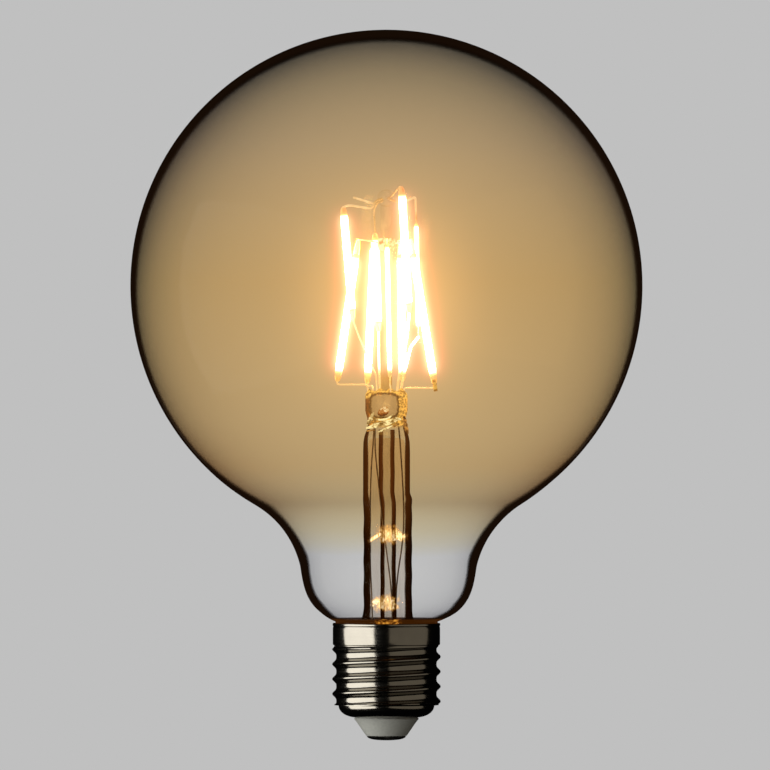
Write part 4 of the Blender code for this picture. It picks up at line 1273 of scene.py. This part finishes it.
def dress_hidden_parts():
    for name, (*values, nodes) in HIDDEN_FINISHES.items():
        made = material(name, mottled, *values)
        for node in nodes:
            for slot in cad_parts[node].material_slots:
                slot.material = made


# Stage, light and camera


def pale_floor(point):
    tone = ramp(noise(point, 3), (0.3, (0.74,) * 3), (0.7, (0.77,) * 3))
    return solid(tone, 0.8, glow=tone, strength=FLOOR_LIGHT)


def make_floor():
    """A wide pale floor well below the bulb, as under a bulb that hangs."""
    bm = bmesh.new()
    cells, half, down = FLOOR_CELLS, FLOOR_SIZE / 2, Matrix.Translation((0, 0, FLOOR_Z))
    bmesh.ops.create_grid(bm, x_segments=cells, y_segments=cells, size=half, matrix=down)
    floor = new_piece("floor", bm)
    floor.data.materials.append(material("pale_floor", pale_floor))
    floor.visible_glossy = False
    floor.visible_transmission = False
    floor.visible_diffuse = False


def make_world():
    """A flat grey backdrop for the camera. Matt surfaces see a dim room, and polished metal a dark one."""
    world = bpy.data.worlds.new("studio")
    bpy.context.scene.world = world
    world.use_nodes = True
    tree = world.node_tree
    tree.nodes.clear()
    glossy, seen = [add("LightPath", {}, f"Is {kind} Ray", tree) for kind in ("Glossy", "Camera")]
    colour = mix_colour(seen, mix_colour(glossy, DIM_ROOM, DARK_ROOM), BACKDROP_GREY)
    new_node(tree, "ShaderNodeOutputWorld", {"Surface": add("Background", {"Color": colour})})


def area_light(name, azimuth, size, colour, radiance):
    """A softbox that faces the cap. azimuth is degrees to the right of the camera, seen from the bulb."""
    distance, height = 0.6, 0.05
    angle = math.radians(azimuth)
    light = bpy.data.lights.new(name, "AREA")
    light.shape = "RECTANGLE"
    light.size, light.size_y = size
    light.color = colour
    light.energy = radiance * size[0] * size[1] * math.pi
    lamp = bpy.data.objects.new(name, light)
    bpy.context.scene.collection.objects.link(lamp)
    lamp.location = (distance * math.sin(angle), -distance * math.cos(angle), height)
    inwards = Vector((0, 0, height)) - lamp.location
    lamp.rotation_euler = inwards.to_track_quat("-Z", "Y").to_euler()
    lamp.visible_camera = False


def make_lights():
    area_light("softbox_left", -65, (0.95, 0.8), (1, 0.965, 0.9), 2.8)
    area_light("softbox_right", 53, (1.28, 0.8), (1, 0.87, 0.68), 0.24)


def make_camera():
    data = bpy.data.cameras.new("camera")
    data.lens = LENS_PER_METRE * CAMERA_DISTANCE
    data.sensor_width = 36
    camera = bpy.data.objects.new("camera", data)
    bpy.context.scene.collection.objects.link(camera)
    camera.location = (CAMERA_X, -CAMERA_DISTANCE, GLOBE_TOP_Z / 2)
    camera.rotation_euler = (math.radians(90), 0, 0)
    bpy.context.scene.camera = camera


def compose(tree, how, share, first, second):
    """Mix two pictures."""
    node = new_node(tree, "CompositorNodeMixRGB", {0: share, 1: first, 2: second}, blend_type=how)
    return Value(node.outputs["Image"])


def make_bloom():
    """The lens's glow round what is too bright for the picture, and a plain view transform."""
    scene = bpy.context.scene
    scene.view_settings.view_transform = "Standard"
    scene.cycles.transparent_max_bounces = 40
    scene.use_nodes = True
    tree = scene.node_tree
    tree.nodes.clear()
    image = Value(new_node(tree, "CompositorNodeRLayers", {}).outputs["Image"])
    excess = compose(tree, "SUBTRACT", 1, image, (1, 1, 1))
    excess = compose(tree, "LIGHTEN", 1, excess, BLACK)
    for spread, share, tint in BLOOM:
        settings = {"filter_type": "GAUSS", "size_x": spread, "size_y": spread}
        blur = Value(new_node(tree, "CompositorNodeBlur", {"Image": excess}, **settings).outputs["Image"])
        image = compose(tree, "ADD", share, image, compose(tree, "MULTIPLY", 1, blur, tint))
    new_node(tree, "CompositorNodeComposite", {"Image": image})


make_camera()
make_globe()
make_stem_tube()
make_press()
make_press_folds()
make_press_drop()
make_exhaust()
make_post_and_beads()
make_light_source()
make_crimp()
make_shell()
make_insulator()
make_contact()
dress_hidden_parts()
make_floor()
make_world()
make_lights()
make_bloom()
